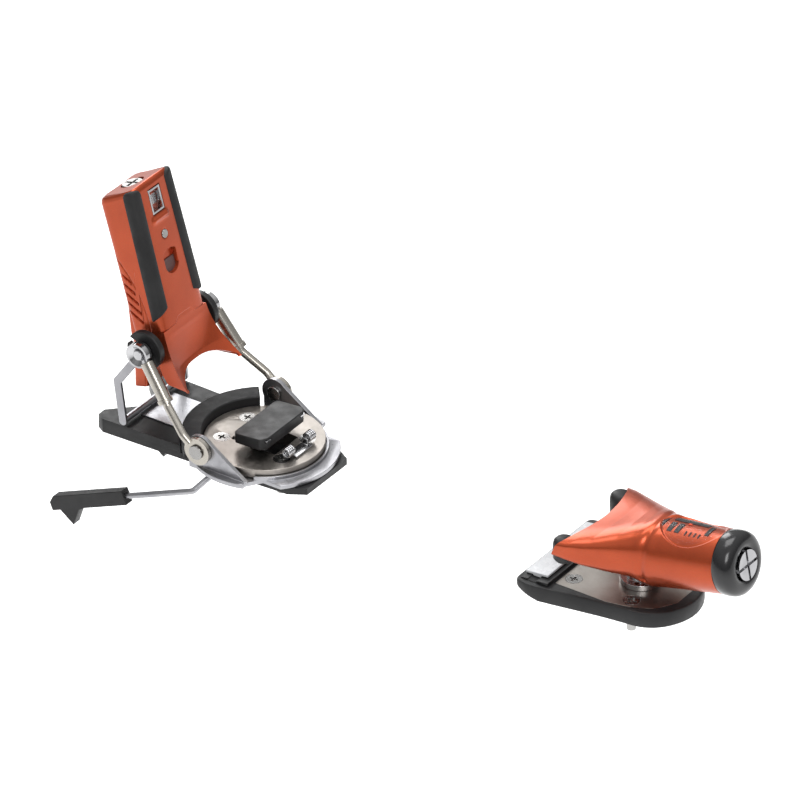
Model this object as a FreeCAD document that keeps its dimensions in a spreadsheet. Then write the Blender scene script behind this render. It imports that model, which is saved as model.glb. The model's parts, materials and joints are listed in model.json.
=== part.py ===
import FreeCAD
import Part
import Sketcher
import math
import os
import re

# Alpine step-in ski binding with a turntable heel, in two units on one centre line.
# +X points forward to the ski tip, +Y to the left, +Z up.  The origin is the turntable's
# axis at the underside of the heel base, which is the ski's top face.  Millimetres.

Vector = FreeCAD.Vector
Placement = FreeCAD.Placement
Rotation = FreeCAD.Rotation
AXIS_X = Vector(1, 0, 0)
AXIS_Y = Vector(0, 1, 0)
AXIS_Z = Vector(0, 0, 1)
SIDES = {"left": 1, "right": -1}

doc = FreeCAD.newDocument("ski_binding")
sheet = doc.addObject("Spreadsheet::Sheet", "Sizes")

SIZES = [
    # clearances
    ("running_gap", 0.06, "radial gap of a pin that turns in its hole"),
    ("side_gap", 0.3, "gap between faces that pass each other"),
    ("screw_gap", 0.2, "radial gap of a mounting screw in its hole"),
    # heel base
    ("base_rear", 98, "from the turntable axis back to the horns"),
    ("base_notch", 84, "from the axis back to the bottom of the rear notch"),
    ("base_front", 44, "from the axis forward to the base's front edge"),
    ("base_rear_half", 31, "half width near the horns"),
    ("base_front_half", 26, "half width near the front"),
    ("base_floor", 4.2, "thickness under the turntable"),
    ("base_rise", 9, "height of the raised rear part"),
    ("slide_plate_thick", 0.8, "bright wear plate on the raised rear"),
    ("slide_plate_half", 15, "half width of the wear plate"),
    # turntable
    ("disc_radius", 35.4, "fixed disc, flange"),
    ("disc_top", 13, "top face of the disc"),
    ("hub_radius", 30, "hub that the bracket turns round"),
    ("well_half", 11.5, "half width of the brake well through the disc"),
    ("well_front", 15.5, "front edge of the brake well"),
    ("plate_thick", 2.5, "turning bracket plate"),
    ("plate_lift", 0.4, "gap under the turning bracket plate"),
    ("plate_radius", 44, "bracket plate, outside"),
    ("plate_flat_half", 30, "half width across the plate's front flats"),
    ("ridge_thick", 1.4, "raised ring on the bracket plate"),
    ("ridge_height", 2.4, "raised ring above the plate"),
    ("crescent_radius", 48, "crescent pad, outside"),
    ("crescent_top", 18.5, "top face of the crescent pad"),
    ("crescent_half_angle", 51, "half the angle that the crescent spans, degrees"),
    ("ear_thick", 2.7, "upright ear of the bracket"),
    ("ear_hub", 9, "round head of the ear"),
    ("ear_tip", 14, "from the axis forward to the ear's low tip"),
    # mounting screws
    ("screw_long_half", 21, "half the heel pattern's length"),
    ("screw_wide_half", 13, "half the heel pattern's width"),
    ("screw_radius", 2.75, "screw thread"),
    ("neck_step", 0.25, "how much thinner the screw's neck is than its thread"),
    ("head_flare", 2.25, "countersunk head beyond the thread"),
    ("screw_reach", 9, "thread standing out below the base"),
    # arms
    ("pivot_back", 18.3, "arm pivot behind the turntable axis"),
    ("pivot_height", 18.4, "arm pivot above the ski"),
    ("rivet_radius", 3, "arm rivet and cross axle"),
    ("eye_radius", 8.5, "flat eye at the foot of each arm"),
    ("eye_thick", 2.8, "flat eye"),
    ("rod_radius", 2.5, "bent arm rod"),
    ("sleeve_radius", 4, "forward-pressure sleeve"),
    ("sleeve_length", 26, "forward-pressure sleeve"),
    ("knuckle_back", 64, "cross axle behind the turntable axis"),
    ("knuckle_height", 64, "cross axle above the ski"),
    ("knuckle_radius", 7.6, "dished knuckle"),
    ("knuckle_inner", 31.7, "inner face of the knuckle, from the centre line"),
    ("knuckle_thick", 4.6, "dished knuckle"),
    ("strap_thick", 2, "flat strap of the rear bail"),
    ("strap_width", 5, "flat strap of the rear bail"),
    ("bail_bend_back", 82, "bend of the bail, behind the axis"),
    ("bail_bend_height", 38.4, "bend of the bail, above the ski"),
    ("bail_foot_back", 78.4, "cross bar of the bail, behind the axis"),
    ("bail_foot_height", 12.4, "cross bar of the bail, above the ski"),
    ("bail_bar_radius", 2, "cross bar of the bail"),
    ("collar_radius", 12, "black collar round the axle"),
    ("collar_thick", 4.2, "black collar round the axle"),
    # heel housing, in its own leaning frame: x forward, z up along the lever
    ("lean", 15.3, "backward lean of the open housing, degrees"),
    ("shell_bottom", 17, "lower edge of the main shell above the axle"),
    ("shell_top", 97, "top of the main shell at its front"),
    ("shell_drop", 5, "how far the top falls to the rear"),
    ("shell_front", 11, "front face ahead of the axle"),
    ("shell_back", 13.4, "rear face behind the axle"),
    ("shell_low_half", 21.5, "half width at the lower edge"),
    ("shell_high_half", 16.5, "half width at the top"),
    ("cover_top", 62, "top of the slotted rear cover"),
    ("cover_depth", 5, "depth of the slotted rear cover"),
    ("cover_bottom", -6, "lower edge of the slotted rear cover"),
    ("strip_width", 6.5, "rubber strip on a front corner"),
    ("strip_proud", 1.2, "rubber strip stands out by"),
    ("bore_radius", 8, "spring bore in the housing"),
    ("bore_back", 3, "spring bore behind the axle"),
    ("window_half", 5.4, "half width of the scale window"),
    ("window_low", 76, "lower edge of the scale window"),
    ("window_high", 91, "upper edge of the scale window"),
    ("lens_thick", 1.2, "scale window lens"),
    ("follower_low", 34, "lower edge of the follower window"),
    ("follower_high", 50, "upper edge of the follower window"),
    ("follower_travel", 3, "travel of the follower"),
    ("heel_screw_head", 6.2, "heel release screw, head"),
    # heel cup
    ("cup_half", 30, "half width of the cup at its prongs"),
    ("cup_reach", 27, "cup's foremost line ahead of the axle"),
    ("cup_drop", 25, "prong tips below the axle"),
    ("boot_heel_radius", 34, "round of the boot heel that the cup takes"),
    # brake
    ("brake_axis_back", 12, "brake axle behind the turntable axis"),
    ("brake_axis_height", 2.1, "brake axle above the ski"),
    ("brake_wire", 1.8, "brake wire radius"),
    ("brake_half", 45, "brake arms from the centre line"),
    ("pin_ahead", 10, "pedal pin ahead of the brake axle"),
    ("pin_above", 12, "pedal pin above the brake axle"),
    ("pedal_back", 10, "pedal's rear edge behind the turntable axis"),
    ("pedal_front", 15, "pedal's front edge"),
    ("pedal_half", 22, "pedal half width"),
    ("pedal_low", 18.8, "underside of the pedal deck"),
    ("pedal_thick", 6.4, "pedal deck"),
    ("claw_height", 9, "plastic claw"),
    # toe unit
    ("toe_offset", 270, "toe frame ahead of the turntable axis"),
    ("toe_rear", 70.5, "toe base behind the toe frame"),
    ("toe_front", 27.3, "toe base ahead of the toe frame"),
    ("toe_rear_half", 40, "toe base half width at the rear"),
    ("toe_front_half", 30, "toe base half width at the front"),
    ("toe_height", 10, "top of the toe base"),
    ("steel_thick", 1.6, "steel plate in the toe base"),
    ("steel_back", 48.5, "steel plate behind the toe frame"),
    ("toe_screw_back", 42, "rear toe screws behind the toe frame"),
    ("toe_screw_front", 3, "front toe screws behind the toe frame"),
    ("toe_screw_half", 20, "toe screws from the centre line"),
    ("afd_length", 15, "anti-friction plate along the ski"),
    ("afd_half", 31, "anti-friction plate, half width"),
    ("afd_thick", 1.6, "anti-friction plate"),
    ("post_back", 10, "toe pivot post behind the toe frame"),
    ("post_radius", 8, "toe pivot post"),
    ("post_top", 27, "toe pivot post"),
    ("head_bottom", 14, "lowest face of the toe head"),
    ("nose_lift", 10.5, "upward slope of the nose, degrees"),
    ("nose_height", 33, "nose axis above the ski at the post"),
    ("nose_length", 60, "nose, from the post to the end cap"),
    ("nose_rear_radius", 21, "nose at the post"),
    ("nose_front_radius", 18, "nose at the end cap"),
    ("spring_radius", 11, "toe spring, outside"),
    ("spring_wire", 1.6, "toe spring, wire radius"),
    ("cap_radius", 19.2, "end cap"),
    ("cap_thick", 12, "end cap"),
    ("toe_screw_head", 9, "toe release screw, head"),
    ("lug_back", 43, "black lug behind the toe frame"),
    ("lug_half", 29, "black lug from the centre line"),
    ("lug_height", 31, "middle of the black lug above the ski"),
    ("lug_radius", 6.5, "black lug"),
    ("lug_length", 22, "black lug"),
    ("wing_thick", 9, "wing of the toe head"),
]
for row, (alias, value, note) in enumerate(SIZES, 1):
    sheet.set(f"A{row}", alias)
    sheet.set(f"B{row}", str(value))
    sheet.set(f"C{row}", note)
    sheet.setAlias(f"B{row}", alias)
doc.recompute()

ALIASES = {alias for alias, value, note in SIZES}


def size(alias):
    """A driving dimension, read from the sheet."""
    return float(sheet.get(alias))


def linked(expression):
    """The expression with every alias pointed at the sheet."""
    return re.sub(r"[a-z_]+", lambda word: f"Sizes.{word.group()}" if word.group() in ALIASES
                  else word.group(), str(expression))


def worth(expression):
    """The number that an expression of aliases gives."""
    found = sheet.evalExpression(linked(expression))
    return float(getattr(found, "Value", found))


def bind(item, prop, expression):
    """Ties a property to an expression of sheet aliases."""
    item.setExpression(prop, linked(expression))


# ---------------------------------------------------------------- making things

NODES = []


def keep(item, node, place=None):
    """Names a finished sub-part and puts it in its place."""
    item.Label = node
    if place is not None:
        item.Placement = place
    NODES.append(item)
    return item


def new_body(name):
    return doc.addObject("PartDesign::Body", name)


def new_sketch(body, role, level="0"):
    """A sketch on one of the body's own planes, raised along the plane's normal."""
    sketch = body.newObject("Sketcher::SketchObject", "Sketch")
    plane = next(item for item in body.Origin.OriginFeatures if item.Role == role)
    sketch.AttachmentSupport = [(plane, "")]
    sketch.MapMode = "FlatFace"
    bind(sketch, ".AttachmentOffset.Base.z", level)
    return sketch


def outline(body, role, corners, level="0"):
    """A closed outline whose corners are pairs of sheet expressions."""
    sketch = new_sketch(body, role, level)
    points = [Vector(worth(across), worth(along), 0) for across, along in corners]
    count = len(points)
    for index in range(count):
        sketch.addGeometry(Part.LineSegment(points[index], points[(index + 1) % count]))
    for index in range(count):
        sketch.addConstraint(Sketcher.Constraint("Coincident", index, 2, (index + 1) % count, 1))
    for index, (across, along) in enumerate(corners):
        for kind, expression, value in (("DistanceX", across, points[index].x),
                                        ("DistanceY", along, points[index].y)):
            number = sketch.addConstraint(Sketcher.Constraint(kind, -1, 1, index, 1, value))
            bind(sketch, f"Constraints[{number}]", expression)
    return sketch


def mirrored(corners):
    """Half an outline, from rear to front, closed by its mirror image across the first axis."""
    return corners + [(across, f"-({along})") for across, along in reversed(corners)]


def circles(body, role, centres, radius, level="0"):
    """Equal circles, or with a pair of radii, rings; centres are pairs of expressions."""
    sketch = new_sketch(body, role, level)
    radii = radius if isinstance(radius, tuple) else (radius,)
    for across, along in centres:
        for one in radii:
            centre = Vector(worth(across), worth(along), 0)
            circle = sketch.addGeometry(Part.Circle(centre, AXIS_Z, worth(one)))
            number = sketch.addConstraint(Sketcher.Constraint("Radius", circle, worth(one)))
            bind(sketch, f"Constraints[{number}]", one)
            number = sketch.addConstraint(Sketcher.Constraint("DistanceX", -1, 1, circle, 3, centre.x))
            bind(sketch, f"Constraints[{number}]", across)
            number = sketch.addConstraint(Sketcher.Constraint("DistanceY", -1, 1, circle, 3, centre.y))
            bind(sketch, f"Constraints[{number}]", along)
    return sketch


def pad(body, sketch, length, midplane=False):
    feature = body.newObject("PartDesign::Pad", "Pad")
    feature.Profile = sketch
    feature.SideType = "Symmetric" if midplane else "One side"
    bind(feature, "Length", length)
    doc.recompute()
    return feature


def pocket(body, sketch, depth, upward=False):
    """Cuts down from the sketch, or up from it; the volume has to fall."""
    before = body.Shape.Volume
    feature = body.newObject("PartDesign::Pocket", "Pocket")
    feature.Profile = sketch
    feature.Reversed = upward
    bind(feature, "Length", depth)
    doc.recompute()
    if body.Shape.Volume > before - 1e-6:
        raise RuntimeError(f"{body.Label}: a pocket cuts nothing")
    return feature


def formed(node, shape, place=None):
    """A sub-part whose shape is worked out by Part's own functions."""
    item = doc.addObject("Part::Feature", "Formed")
    item.Shape = shape
    return keep(item, node, place and place.multiply(shape.Placement))


def rod(start, end, radius):
    """A straight round bar between two points."""
    run = end - start
    return Part.makeCylinder(radius, run.Length, start, run)


def prism(corners, low, high):
    """Corners in the X-Z plane, carried along Y from low to high."""
    points = [Vector(along, low, up) for along, up in corners]
    face = Part.Face(Part.makePolygon(points + points[:1]))
    return face.extrude(Vector(0, high - low, 0))


def slab(corners, low, high):
    """Corners in the X-Y plane, carried along Z from low to high."""
    points = [Vector(along, across, low) for along, across in corners]
    face = Part.Face(Part.makePolygon(points + points[:1]))
    return face.extrude(Vector(0, 0, high - low))


def sheet_front(corners, back, front):
    """Corners in the Y-Z plane, carried along X from back to front."""
    points = [Vector(back, across, up) for across, up in corners]
    face = Part.Face(Part.makePolygon(points + points[:1]))
    return face.extrude(Vector(front - back, 0, 0))


def block(low, high):
    """A box from its lowest to its highest corner."""
    span = high - low
    return Part.makeBox(span.x, span.y, span.z, low)


def bent_rod(points, radius, bend):
    """A round bar along straight runs with a tangent arc at each inner point."""
    edges = []
    last = points[0]
    for before, corner, after in zip(points, points[1:], points[2:]):
        back = (before - corner).normalize()
        ahead = (after - corner).normalize()
        half = back.getAngle(ahead) / 2
        reach = bend / math.tan(half)
        middle = (back + ahead).normalize()
        depth = bend / math.sin(half) - bend
        enter = corner + back * reach
        leave = corner + ahead * reach
        edges.append(Part.LineSegment(last, enter).toShape())
        edges.append(Part.Arc(enter, corner + middle * depth, leave).toShape())
        last = leave
    edges.append(Part.LineSegment(last, points[-1]).toShape())
    start = Part.Face(Part.Wire(Part.makeCircle(radius, points[0], points[1] - points[0])))
    return Part.Wire(edges).makePipe(start)


def coil(radius, wire, low, high, turns):
    """A helical spring about +Z with its wire's centre line from low to high."""
    height = high - low
    path = Part.makeHelix(height / turns, height, radius)
    section = Part.Wire(Part.makeCircle(wire, Vector(radius, 0, 0), AXIS_Y))
    spring = Part.Wire(path).makePipeShell([section], True, True)
    return moved(spring, Vector(0, 0, low))


def countersunk(radius, head, top, reach, recess):
    """A countersunk screw about +Z: head flush at top, shank down to -reach, cross recess."""
    cone = head - radius
    neck = radius - size("neck_step")
    body = Part.makeCylinder(radius, reach, Vector(0, 0, -reach))
    body = body.fuse(Part.makeCylinder(neck, top))
    body = body.fuse(Part.makeCone(radius, head, cone, Vector(0, 0, top - cone)))
    for long, wide in ((recess, recess / 4), (recess / 4, recess)):
        body = body.cut(block(Vector(-long, -wide, top - cone / 2), Vector(long, wide, top + 1)))
    return body.removeSplitter()


def turned(shape, axis, angle, centre=Vector(0, 0, 0)):
    found = shape.copy()
    found.rotate(centre, axis, angle)
    return found


def moved(shape, shift):
    found = shape.copy()
    found.translate(shift)
    return found


# ---------------------------------------------------------------- heel unit, fixed to the ski

floor = size("base_floor")
screw_spots = [(fore * size("screw_long_half"), side * size("screw_wide_half"))
               for fore in (-1, 1) for side in (-1, 1)]
screw_names = [(f"{fore}screw_long_half", f"{side}screw_wide_half")
               for fore in ("-", "") for side in ("-", "")]


def make_heel_base():
    """Black base: a thin floor under the turntable, a raised rear with two horns."""
    body = new_body("HeelBase")
    half = [("-base_notch", "8"), ("-base_rear", "base_rear_half - 9"),
            ("-base_rear", "base_rear_half - 3"), ("-base_rear + 5", "base_rear_half"),
            ("-ear_tip", "base_rear_half - 2.5"), ("base_front - 10", "base_front_half"),
            ("base_front", "base_front_half - 6")]
    pad(body, outline(body, "XY_Plane", mirrored(half)), "base_floor")
    rear = half[:4] + [("-crescent_radius - 2", "base_rear_half - 1"),
                       ("-crescent_radius + 14", "base_rear_half - 2")]
    pad(body, outline(body, "XY_Plane", mirrored(rear), "base_floor"), "base_rise - base_floor")
    pocket(body, circles(body, "XY_Plane", [("0", "0")], "crescent_radius + 2*side_gap", "base_floor"),
           "base_rise - base_floor", upward=True)
    pocket(body, circles(body, "XY_Plane", screw_names, "screw_radius + screw_gap", "base_floor"),
           "base_floor")
    for side in ("", "-"):
        slot = [("-brake_axis_back - brake_wire - side_gap", f"{side}(well_half - 6)"),
                ("-brake_axis_back + brake_wire + side_gap", f"{side}(well_half - 6)"),
                ("-brake_axis_back + brake_wire + side_gap", f"{side}(base_rear_half + 1)"),
                ("-brake_axis_back - brake_wire - side_gap", f"{side}(base_rear_half + 1)")]
        pocket(body, outline(body, "XY_Plane", slot, "base_floor"), "base_floor")
        crank = [("-brake_axis_back - brake_wire - side_gap", f"{side}(well_half - 5)"),
                 ("-brake_axis_back + pin_ahead - 1", f"{side}(well_half - 5)"),
                 ("-brake_axis_back + pin_ahead - 1", f"{side}(well_half + 0.5)"),
                 ("-brake_axis_back - brake_wire - side_gap", f"{side}(well_half + 0.5)")]
        pocket(body, outline(body, "XY_Plane", crank, "base_floor"), "base_floor")
    keep(body, "heel_base_plate")


def make_slide_plate():
    """Bright wear plate let into nothing, lying on the raised rear behind the crescent."""
    body = new_body("SlidePlate")
    half = [("-base_notch + 2", "slide_plate_half - 6"), ("-base_notch + 7", "slide_plate_half"),
            ("-crescent_radius - 1", "slide_plate_half")]
    pad(body, outline(body, "XY_Plane", mirrored(half), "base_rise"), "slide_plate_thick")
    keep(body, "heel_slide_plate")


def make_disc():
    """Fixed disc: hub inside the bracket, flange over it, a well for the brake, four screw holes."""
    body = new_body("TurntableDisc")
    pad(body, circles(body, "XY_Plane", [("0", "0")], "hub_radius", "base_floor"), "disc_top - base_floor")
    pad(body, circles(body, "XY_Plane", [("0", "0")], "disc_radius",
                      "base_floor + plate_lift + plate_thick + 2*side_gap"),
        "disc_top - base_floor - plate_lift - plate_thick - 2*side_gap")
    well = [("-well_front", "-well_half"), ("well_front", "-well_half"),
            ("well_front", "well_half"), ("-well_front", "well_half")]
    pocket(body, outline(body, "XY_Plane", well, "disc_top"), "disc_top")
    holes = circles(body, "XY_Plane", screw_names, "screw_radius", "disc_top")
    pocket(body, holes, "disc_top")
    rims = body.Shape.Edges
    top = size("disc_top")
    names = [f"Edge{index}" for index, edge in enumerate(rims, 1)
             if isinstance(edge.Curve, Part.Circle) and abs(edge.Curve.Radius - size("screw_radius")) < 1e-6
             and abs(edge.Curve.Center.z - top) < 1e-6]
    drilled = body.Tip
    chamfer = body.newObject("PartDesign::Chamfer", "Countersink")
    chamfer.Base = (drilled, names)
    bind(chamfer, "Size", "head_flare")
    doc.recompute()
    keep(body, "turntable_disc")


def make_screws(node, spots, head_top):
    """Four countersunk screws, whose threads stand out below the base as studs."""
    thread = size("screw_radius")
    one = countersunk(thread, thread + size("head_flare"), head_top, size("screw_reach"), 2.6)
    formed(node, Part.makeCompound([moved(one, Vector(x, y, 0)) for x, y in spots]))


def make_brake_bracket():
    """Pressed steel bracket at the front of the disc, with two upright tabs."""
    top = size("disc_top")
    rear = size("pedal_front") + 6.5
    body = block(Vector(rear, -8, top), Vector(rear + 7, 8, top + 1.4))
    for side in (-1, 1):
        body = body.fuse(block(Vector(rear + 1, side * 6.5 - 0.75, top + 1.4),
                               Vector(rear + 4.5, side * 6.5 + 0.75, top + 5)))
    formed("brake_bracket", body.removeSplitter())


def make_brake_springs():
    """Torsion spring beside each tab of the brake bracket, coil by coil."""
    wire = 0.7
    middle = size("pedal_front") + 9.3
    rings = []
    for side in SIDES.values():
        for turn in range(4):
            across = side * (8.2 + (2 * wire + 0.1) * turn)
            rings.append(Part.makeTorus(2.4, wire, Vector(middle, across, size("disc_top") + 4.6), AXIS_Y))
    formed("brake_springs", Part.makeCompound(rings))


# ---------------------------------------------------------------- turntable

plate_low = floor + size("plate_lift")
plate_high = plate_low + size("plate_thick")
ear_inner = size("disc_radius") + 0.8
ear_outer = ear_inner + size("ear_thick")
pivot = Vector(-size("pivot_back"), 0, size("pivot_height"))


def make_bracket():
    """Turning plate round the hub, a raised ring at the front and two upright ears."""
    body = new_body("TurntableBracket")
    level = "base_floor + plate_lift"
    pad(body, circles(body, "XY_Plane", [("0", "0")], ("plate_radius", "hub_radius + side_gap"), level),
        "plate_thick")
    pad(body, circles(body, "XY_Plane", [("0", "0")],
                      ("disc_radius + 2*side_gap + ridge_thick", "disc_radius + 2*side_gap"),
                      level + " + plate_thick"), "ridge_height")
    ring_rear = [("-plate_radius", "-plate_radius"), ("ear_tip + 2", "-plate_radius"),
                 ("ear_tip + 2", "plate_radius"), ("-plate_radius", "plate_radius")]
    pocket(body, outline(body, "XY_Plane", ring_rear, level + " + plate_thick + ridge_height"),
           "ridge_height")
    for side in ("", "-"):
        flat = [("ear_tip + 6", f"{side}plate_flat_half"), ("plate_radius", f"{side}plate_flat_half"),
                ("plate_radius", f"{side}(plate_radius + 1)"), ("ear_tip", f"{side}(plate_radius + 1)"),
                ("ear_tip", f"{side}(disc_radius + 3.5)")]
        pocket(body, outline(body, "XY_Plane", flat, level + " + plate_thick"), "plate_thick")
        ear = [("-pivot_back - ear_hub + 1.5", level), ("ear_tip", level),
               ("ear_tip", level + " + plate_thick"),
               ("-pivot_back + 0.72*ear_hub", "pivot_height + 0.68*ear_hub"),
               ("-pivot_back", "pivot_height + 0.9*ear_hub"), ("-pivot_back - 0.9*ear_hub", "pivot_height")]
        start = "disc_radius + 0.8" if side == "-" else "-disc_radius - 0.8 - ear_thick"
        pad(body, outline(body, "XZ_Plane", ear, start), "ear_thick")
        crown = circles(body, "XZ_Plane", [("-pivot_back", "pivot_height")], "ear_hub", start)
        pad(body, crown, "ear_thick")
        pocket(body, circles(body, "XZ_Plane", [("-pivot_back", "pivot_height")], "rivet_radius",
                             start + " + ear_thick"), "ear_thick")
    keep(body, "turntable_bracket")


def make_crescent():
    """Raised pad round the back of the turntable, on the turning plate."""
    inner = size("disc_radius") + 0.8
    outer = size("crescent_radius")
    half = size("crescent_half_angle")
    low = plate_high
    ring = Part.makeCylinder(outer, size("crescent_top") - low, Vector(0, 0, low), AXIS_Z, 2 * half)
    ring = turned(ring, AXIS_Z, 180 - half)
    ring = ring.cut(Part.makeCylinder(inner, outer, Vector(0, 0, low - 1)))
    formed("crescent_pad", ring)


def make_rivets():
    """The rivets that hold the arms to the ears: shank, outer head and inner dome."""
    radius = size("rivet_radius")
    gap = size("side_gap")
    outer = ear_outer + 2 * gap + size("eye_thick")
    shapes = []
    for side in SIDES.values():
        shank = rod(Vector(pivot.x, side * ear_inner, pivot.z),
                    Vector(pivot.x, side * (outer + 1.2), pivot.z), radius)
        head = rod(Vector(pivot.x, side * outer, pivot.z),
                   Vector(pivot.x, side * (outer + 1.2), pivot.z), radius * 1.5)
        dome = rod(Vector(pivot.x, side * (ear_inner - 1.6), pivot.z),
                   Vector(pivot.x, side * ear_inner, pivot.z), radius * 1.5)
        shapes.append(shank.fuse([head, dome]).removeSplitter())
    formed("arm_pivot_rivets", Part.makeCompound(shapes))


# ---------------------------------------------------------------- arms

axle = Vector(-size("knuckle_back"), 0, size("knuckle_height"))
eye_middle = ear_outer + size("side_gap") + size("eye_thick") / 2
knuckle_middle = size("knuckle_inner") + size("knuckle_thick") / 2


def both_sides(node, shape):
    """The left-hand piece and its mirror image."""
    formed(f"{node}_left", shape)
    formed(f"{node}_right", shape.mirror(Vector(0, 0, 0), AXIS_Y))


def make_arms():
    """Each arm: a rod with a flat eye, a sleeve round its upper end, and a dished knuckle."""
    gap = size("side_gap")
    thick = size("knuckle_thick")
    head = Vector(axle.x + 6, knuckle_middle + 0.6, axle.z - 2.5)
    toward = Vector(-15.1, -2, 21.6).normalize()
    foot = head - toward * size("sleeve_length")
    eye = Part.makeCylinder(size("eye_radius"), size("eye_thick"),
                            Vector(pivot.x, eye_middle - size("eye_thick") / 2, pivot.z), AXIS_Y)
    hole = Part.makeCylinder(size("rivet_radius") + size("running_gap"), 20,
                             Vector(pivot.x, eye_middle - 10, pivot.z), AXIS_Y)
    bend = foot - toward * 2
    out = Vector(bend.x - pivot.x, 0, bend.z - pivot.z).normalize()
    start = Vector(pivot.x, ear_outer + gap + size("rod_radius"), pivot.z) + out * (size("eye_radius") - 2)
    past_ear = start + out * 6
    bar = bent_rod([start, past_ear, bend, foot + toward * size("sleeve_length") * 0.5],
                   size("rod_radius"), 6)
    both_sides("arm_rod", eye.fuse(bar).cut(hole))
    sleeve = rod(foot, head, size("sleeve_radius"))
    sleeve = sleeve.fuse(rod(foot, foot + toward * 2.5, size("sleeve_radius") + 0.7))
    sleeve = sleeve.cut(rod(foot - toward, head + toward, size("rod_radius") + size("running_gap")))
    knuckle = Part.makeCylinder(size("knuckle_radius"), thick,
                                Vector(axle.x, size("knuckle_inner"), axle.z), AXIS_Y)
    both_sides("adjuster_sleeve", sleeve.cut(knuckle))
    neck = rod(head - toward * size("sleeve_length") * 0.3, head + toward * 2, size("rod_radius"))
    dish = Part.makeCone(size("knuckle_radius") - 1.2, size("rivet_radius"), 2,
                         Vector(axle.x, size("knuckle_inner") + thick, axle.z), Vector(0, -1, 0))
    bore = Part.makeCylinder(size("rivet_radius"), 40, Vector(axle.x, knuckle_middle - 20, axle.z), AXIS_Y)
    both_sides("arm_knuckle", knuckle.fuse(neck).cut(dish).cut(bore))


def make_axle():
    """Cross axle through both knuckles, the bail and the housing."""
    reach = size("knuckle_inner") + size("knuckle_thick") - 0.8
    item = doc.addObject("Part::Cylinder", "Axle")
    bind(item, "Radius", "rivet_radius")
    bind(item, "Height", "2*(knuckle_inner + knuckle_thick - 0.8)")
    keep(item, "pivot_axle", Placement(Vector(axle.x, reach, axle.z), Rotation(AXIS_X, 90)))


def make_bail():
    """U-shaped bail: two flat bent straps joined by a cross bar at their feet."""
    outer = size("knuckle_inner") - size("side_gap")
    inner = outer - size("strap_thick")
    half = size("strap_width") / 2
    spots = [Vector(axle.x, 0, axle.z),
             Vector(-size("bail_bend_back"), 0, size("bail_bend_height")),
             Vector(-size("bail_foot_back"), 0, size("bail_foot_height"))]
    shapes = []
    for side in SIDES.values():
        low = min(side * inner, side * outer)
        shift = Vector(0, low, 0)
        for a, b in zip(spots, spots[1:]):
            across = (b - a).cross(AXIS_Y).normalize() * half
            corners = [(p.x, p.z) for p in (a + across, b + across, b - across, a - across)]
            shapes.append(prism(corners, low, low + size("strap_thick")))
        for spot, radius in zip(spots, (size("rivet_radius") + 3, half, half)):
            shapes.append(Part.makeCylinder(radius, size("strap_thick"), spot + shift, AXIS_Y))
    shapes.append(rod(Vector(spots[2].x, -outer, spots[2].z), Vector(spots[2].x, outer, spots[2].z),
                      size("bail_bar_radius")))
    hole = Part.makeCylinder(size("rivet_radius") + size("running_gap"), 4 * outer,
                             Vector(axle.x, -2 * outer, axle.z), AXIS_Y)
    formed("rear_bail", shapes[0].fuse(shapes[1:]).cut(hole).removeSplitter())


def make_collars():
    """Black collars round the axle between the bail and the housing, notched at the rear."""
    radius = size("collar_radius")
    thick = size("collar_thick")
    low = size("knuckle_inner") - 2 * size("side_gap") - size("strap_thick") - thick
    ring = Part.makeCylinder(radius, thick, Vector(axle.x, low, axle.z), AXIS_Y)
    hole = Part.makeCylinder(size("rivet_radius") + size("running_gap"), thick + 2,
                             Vector(axle.x, low - 1, axle.z), AXIS_Y)
    notch = block(Vector(-radius - 1, low - 1, -2.5),
                  Vector(-size("rivet_radius") - 2.5, low + thick + 1, 2.5))
    notch = moved(turned(notch, AXIS_Y, 20), axle)
    both_sides("bail_collar", ring.cut([hole, notch]))


# ---------------------------------------------------------------- heel housing, in its leaning frame

leaning = Placement(axle, Rotation(AXIS_Y, -size("lean")))
bore_axis = Vector(-size("bore_back"), 0, 0)


def shell_half(up):
    """Half width of the housing at a height above the axle."""
    share = (up - size("shell_bottom")) / (size("shell_top") - size("shell_bottom"))
    return size("shell_low_half") + share * (size("shell_high_half") - size("shell_low_half"))


def shell_blank():
    """Tapered shell between its lower edge and its sloping top."""
    corner = 4
    wires = []
    for up in (size("shell_bottom"), size("shell_top")):
        half = shell_half(up)
        front = size("shell_front")
        back = -size("shell_back")
        points = [Vector(back, half - corner, up), Vector(back + corner, half, up),
                  Vector(front - corner, half, up), Vector(front, half - corner, up),
                  Vector(front, corner - half, up), Vector(front - corner, -half, up),
                  Vector(back + corner, -half, up), Vector(back, corner - half, up)]
        wires.append(Part.makePolygon(points + points[:1]))
    blank = Part.makeLoft(wires, True, True)
    top = size("shell_top")
    slope = prism([(-size("shell_back") - 1, top - size("shell_drop")), (size("shell_front") + 1, top),
                   (size("shell_front") + 1, top + 9), (-size("shell_back") - 1, top + 9)], -60, 60)
    return blank.cut(slope)


def strip_body(side):
    """Corner strip: the part of a slightly fatter shell that lies round one front corner."""
    proud = size("strip_proud")
    low = size("shell_bottom") + 2
    high = size("shell_top") - 4
    width = size("strip_width")
    front = size("shell_front") + proud
    corners = []
    for up in (low, high):
        half = shell_half(up) + proud
        points = [Vector(front - width, side * (half - 4), up), Vector(front - width, side * half, up),
                  Vector(front - 3, side * half, up), Vector(front, side * (half - 3), up),
                  Vector(front, side * (half - width), up), Vector(front - 3.5, side * (half - width), up)]
        corners.append(Part.makePolygon(points + points[:1]))
    return Part.makeLoft(corners, True, True)


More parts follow.
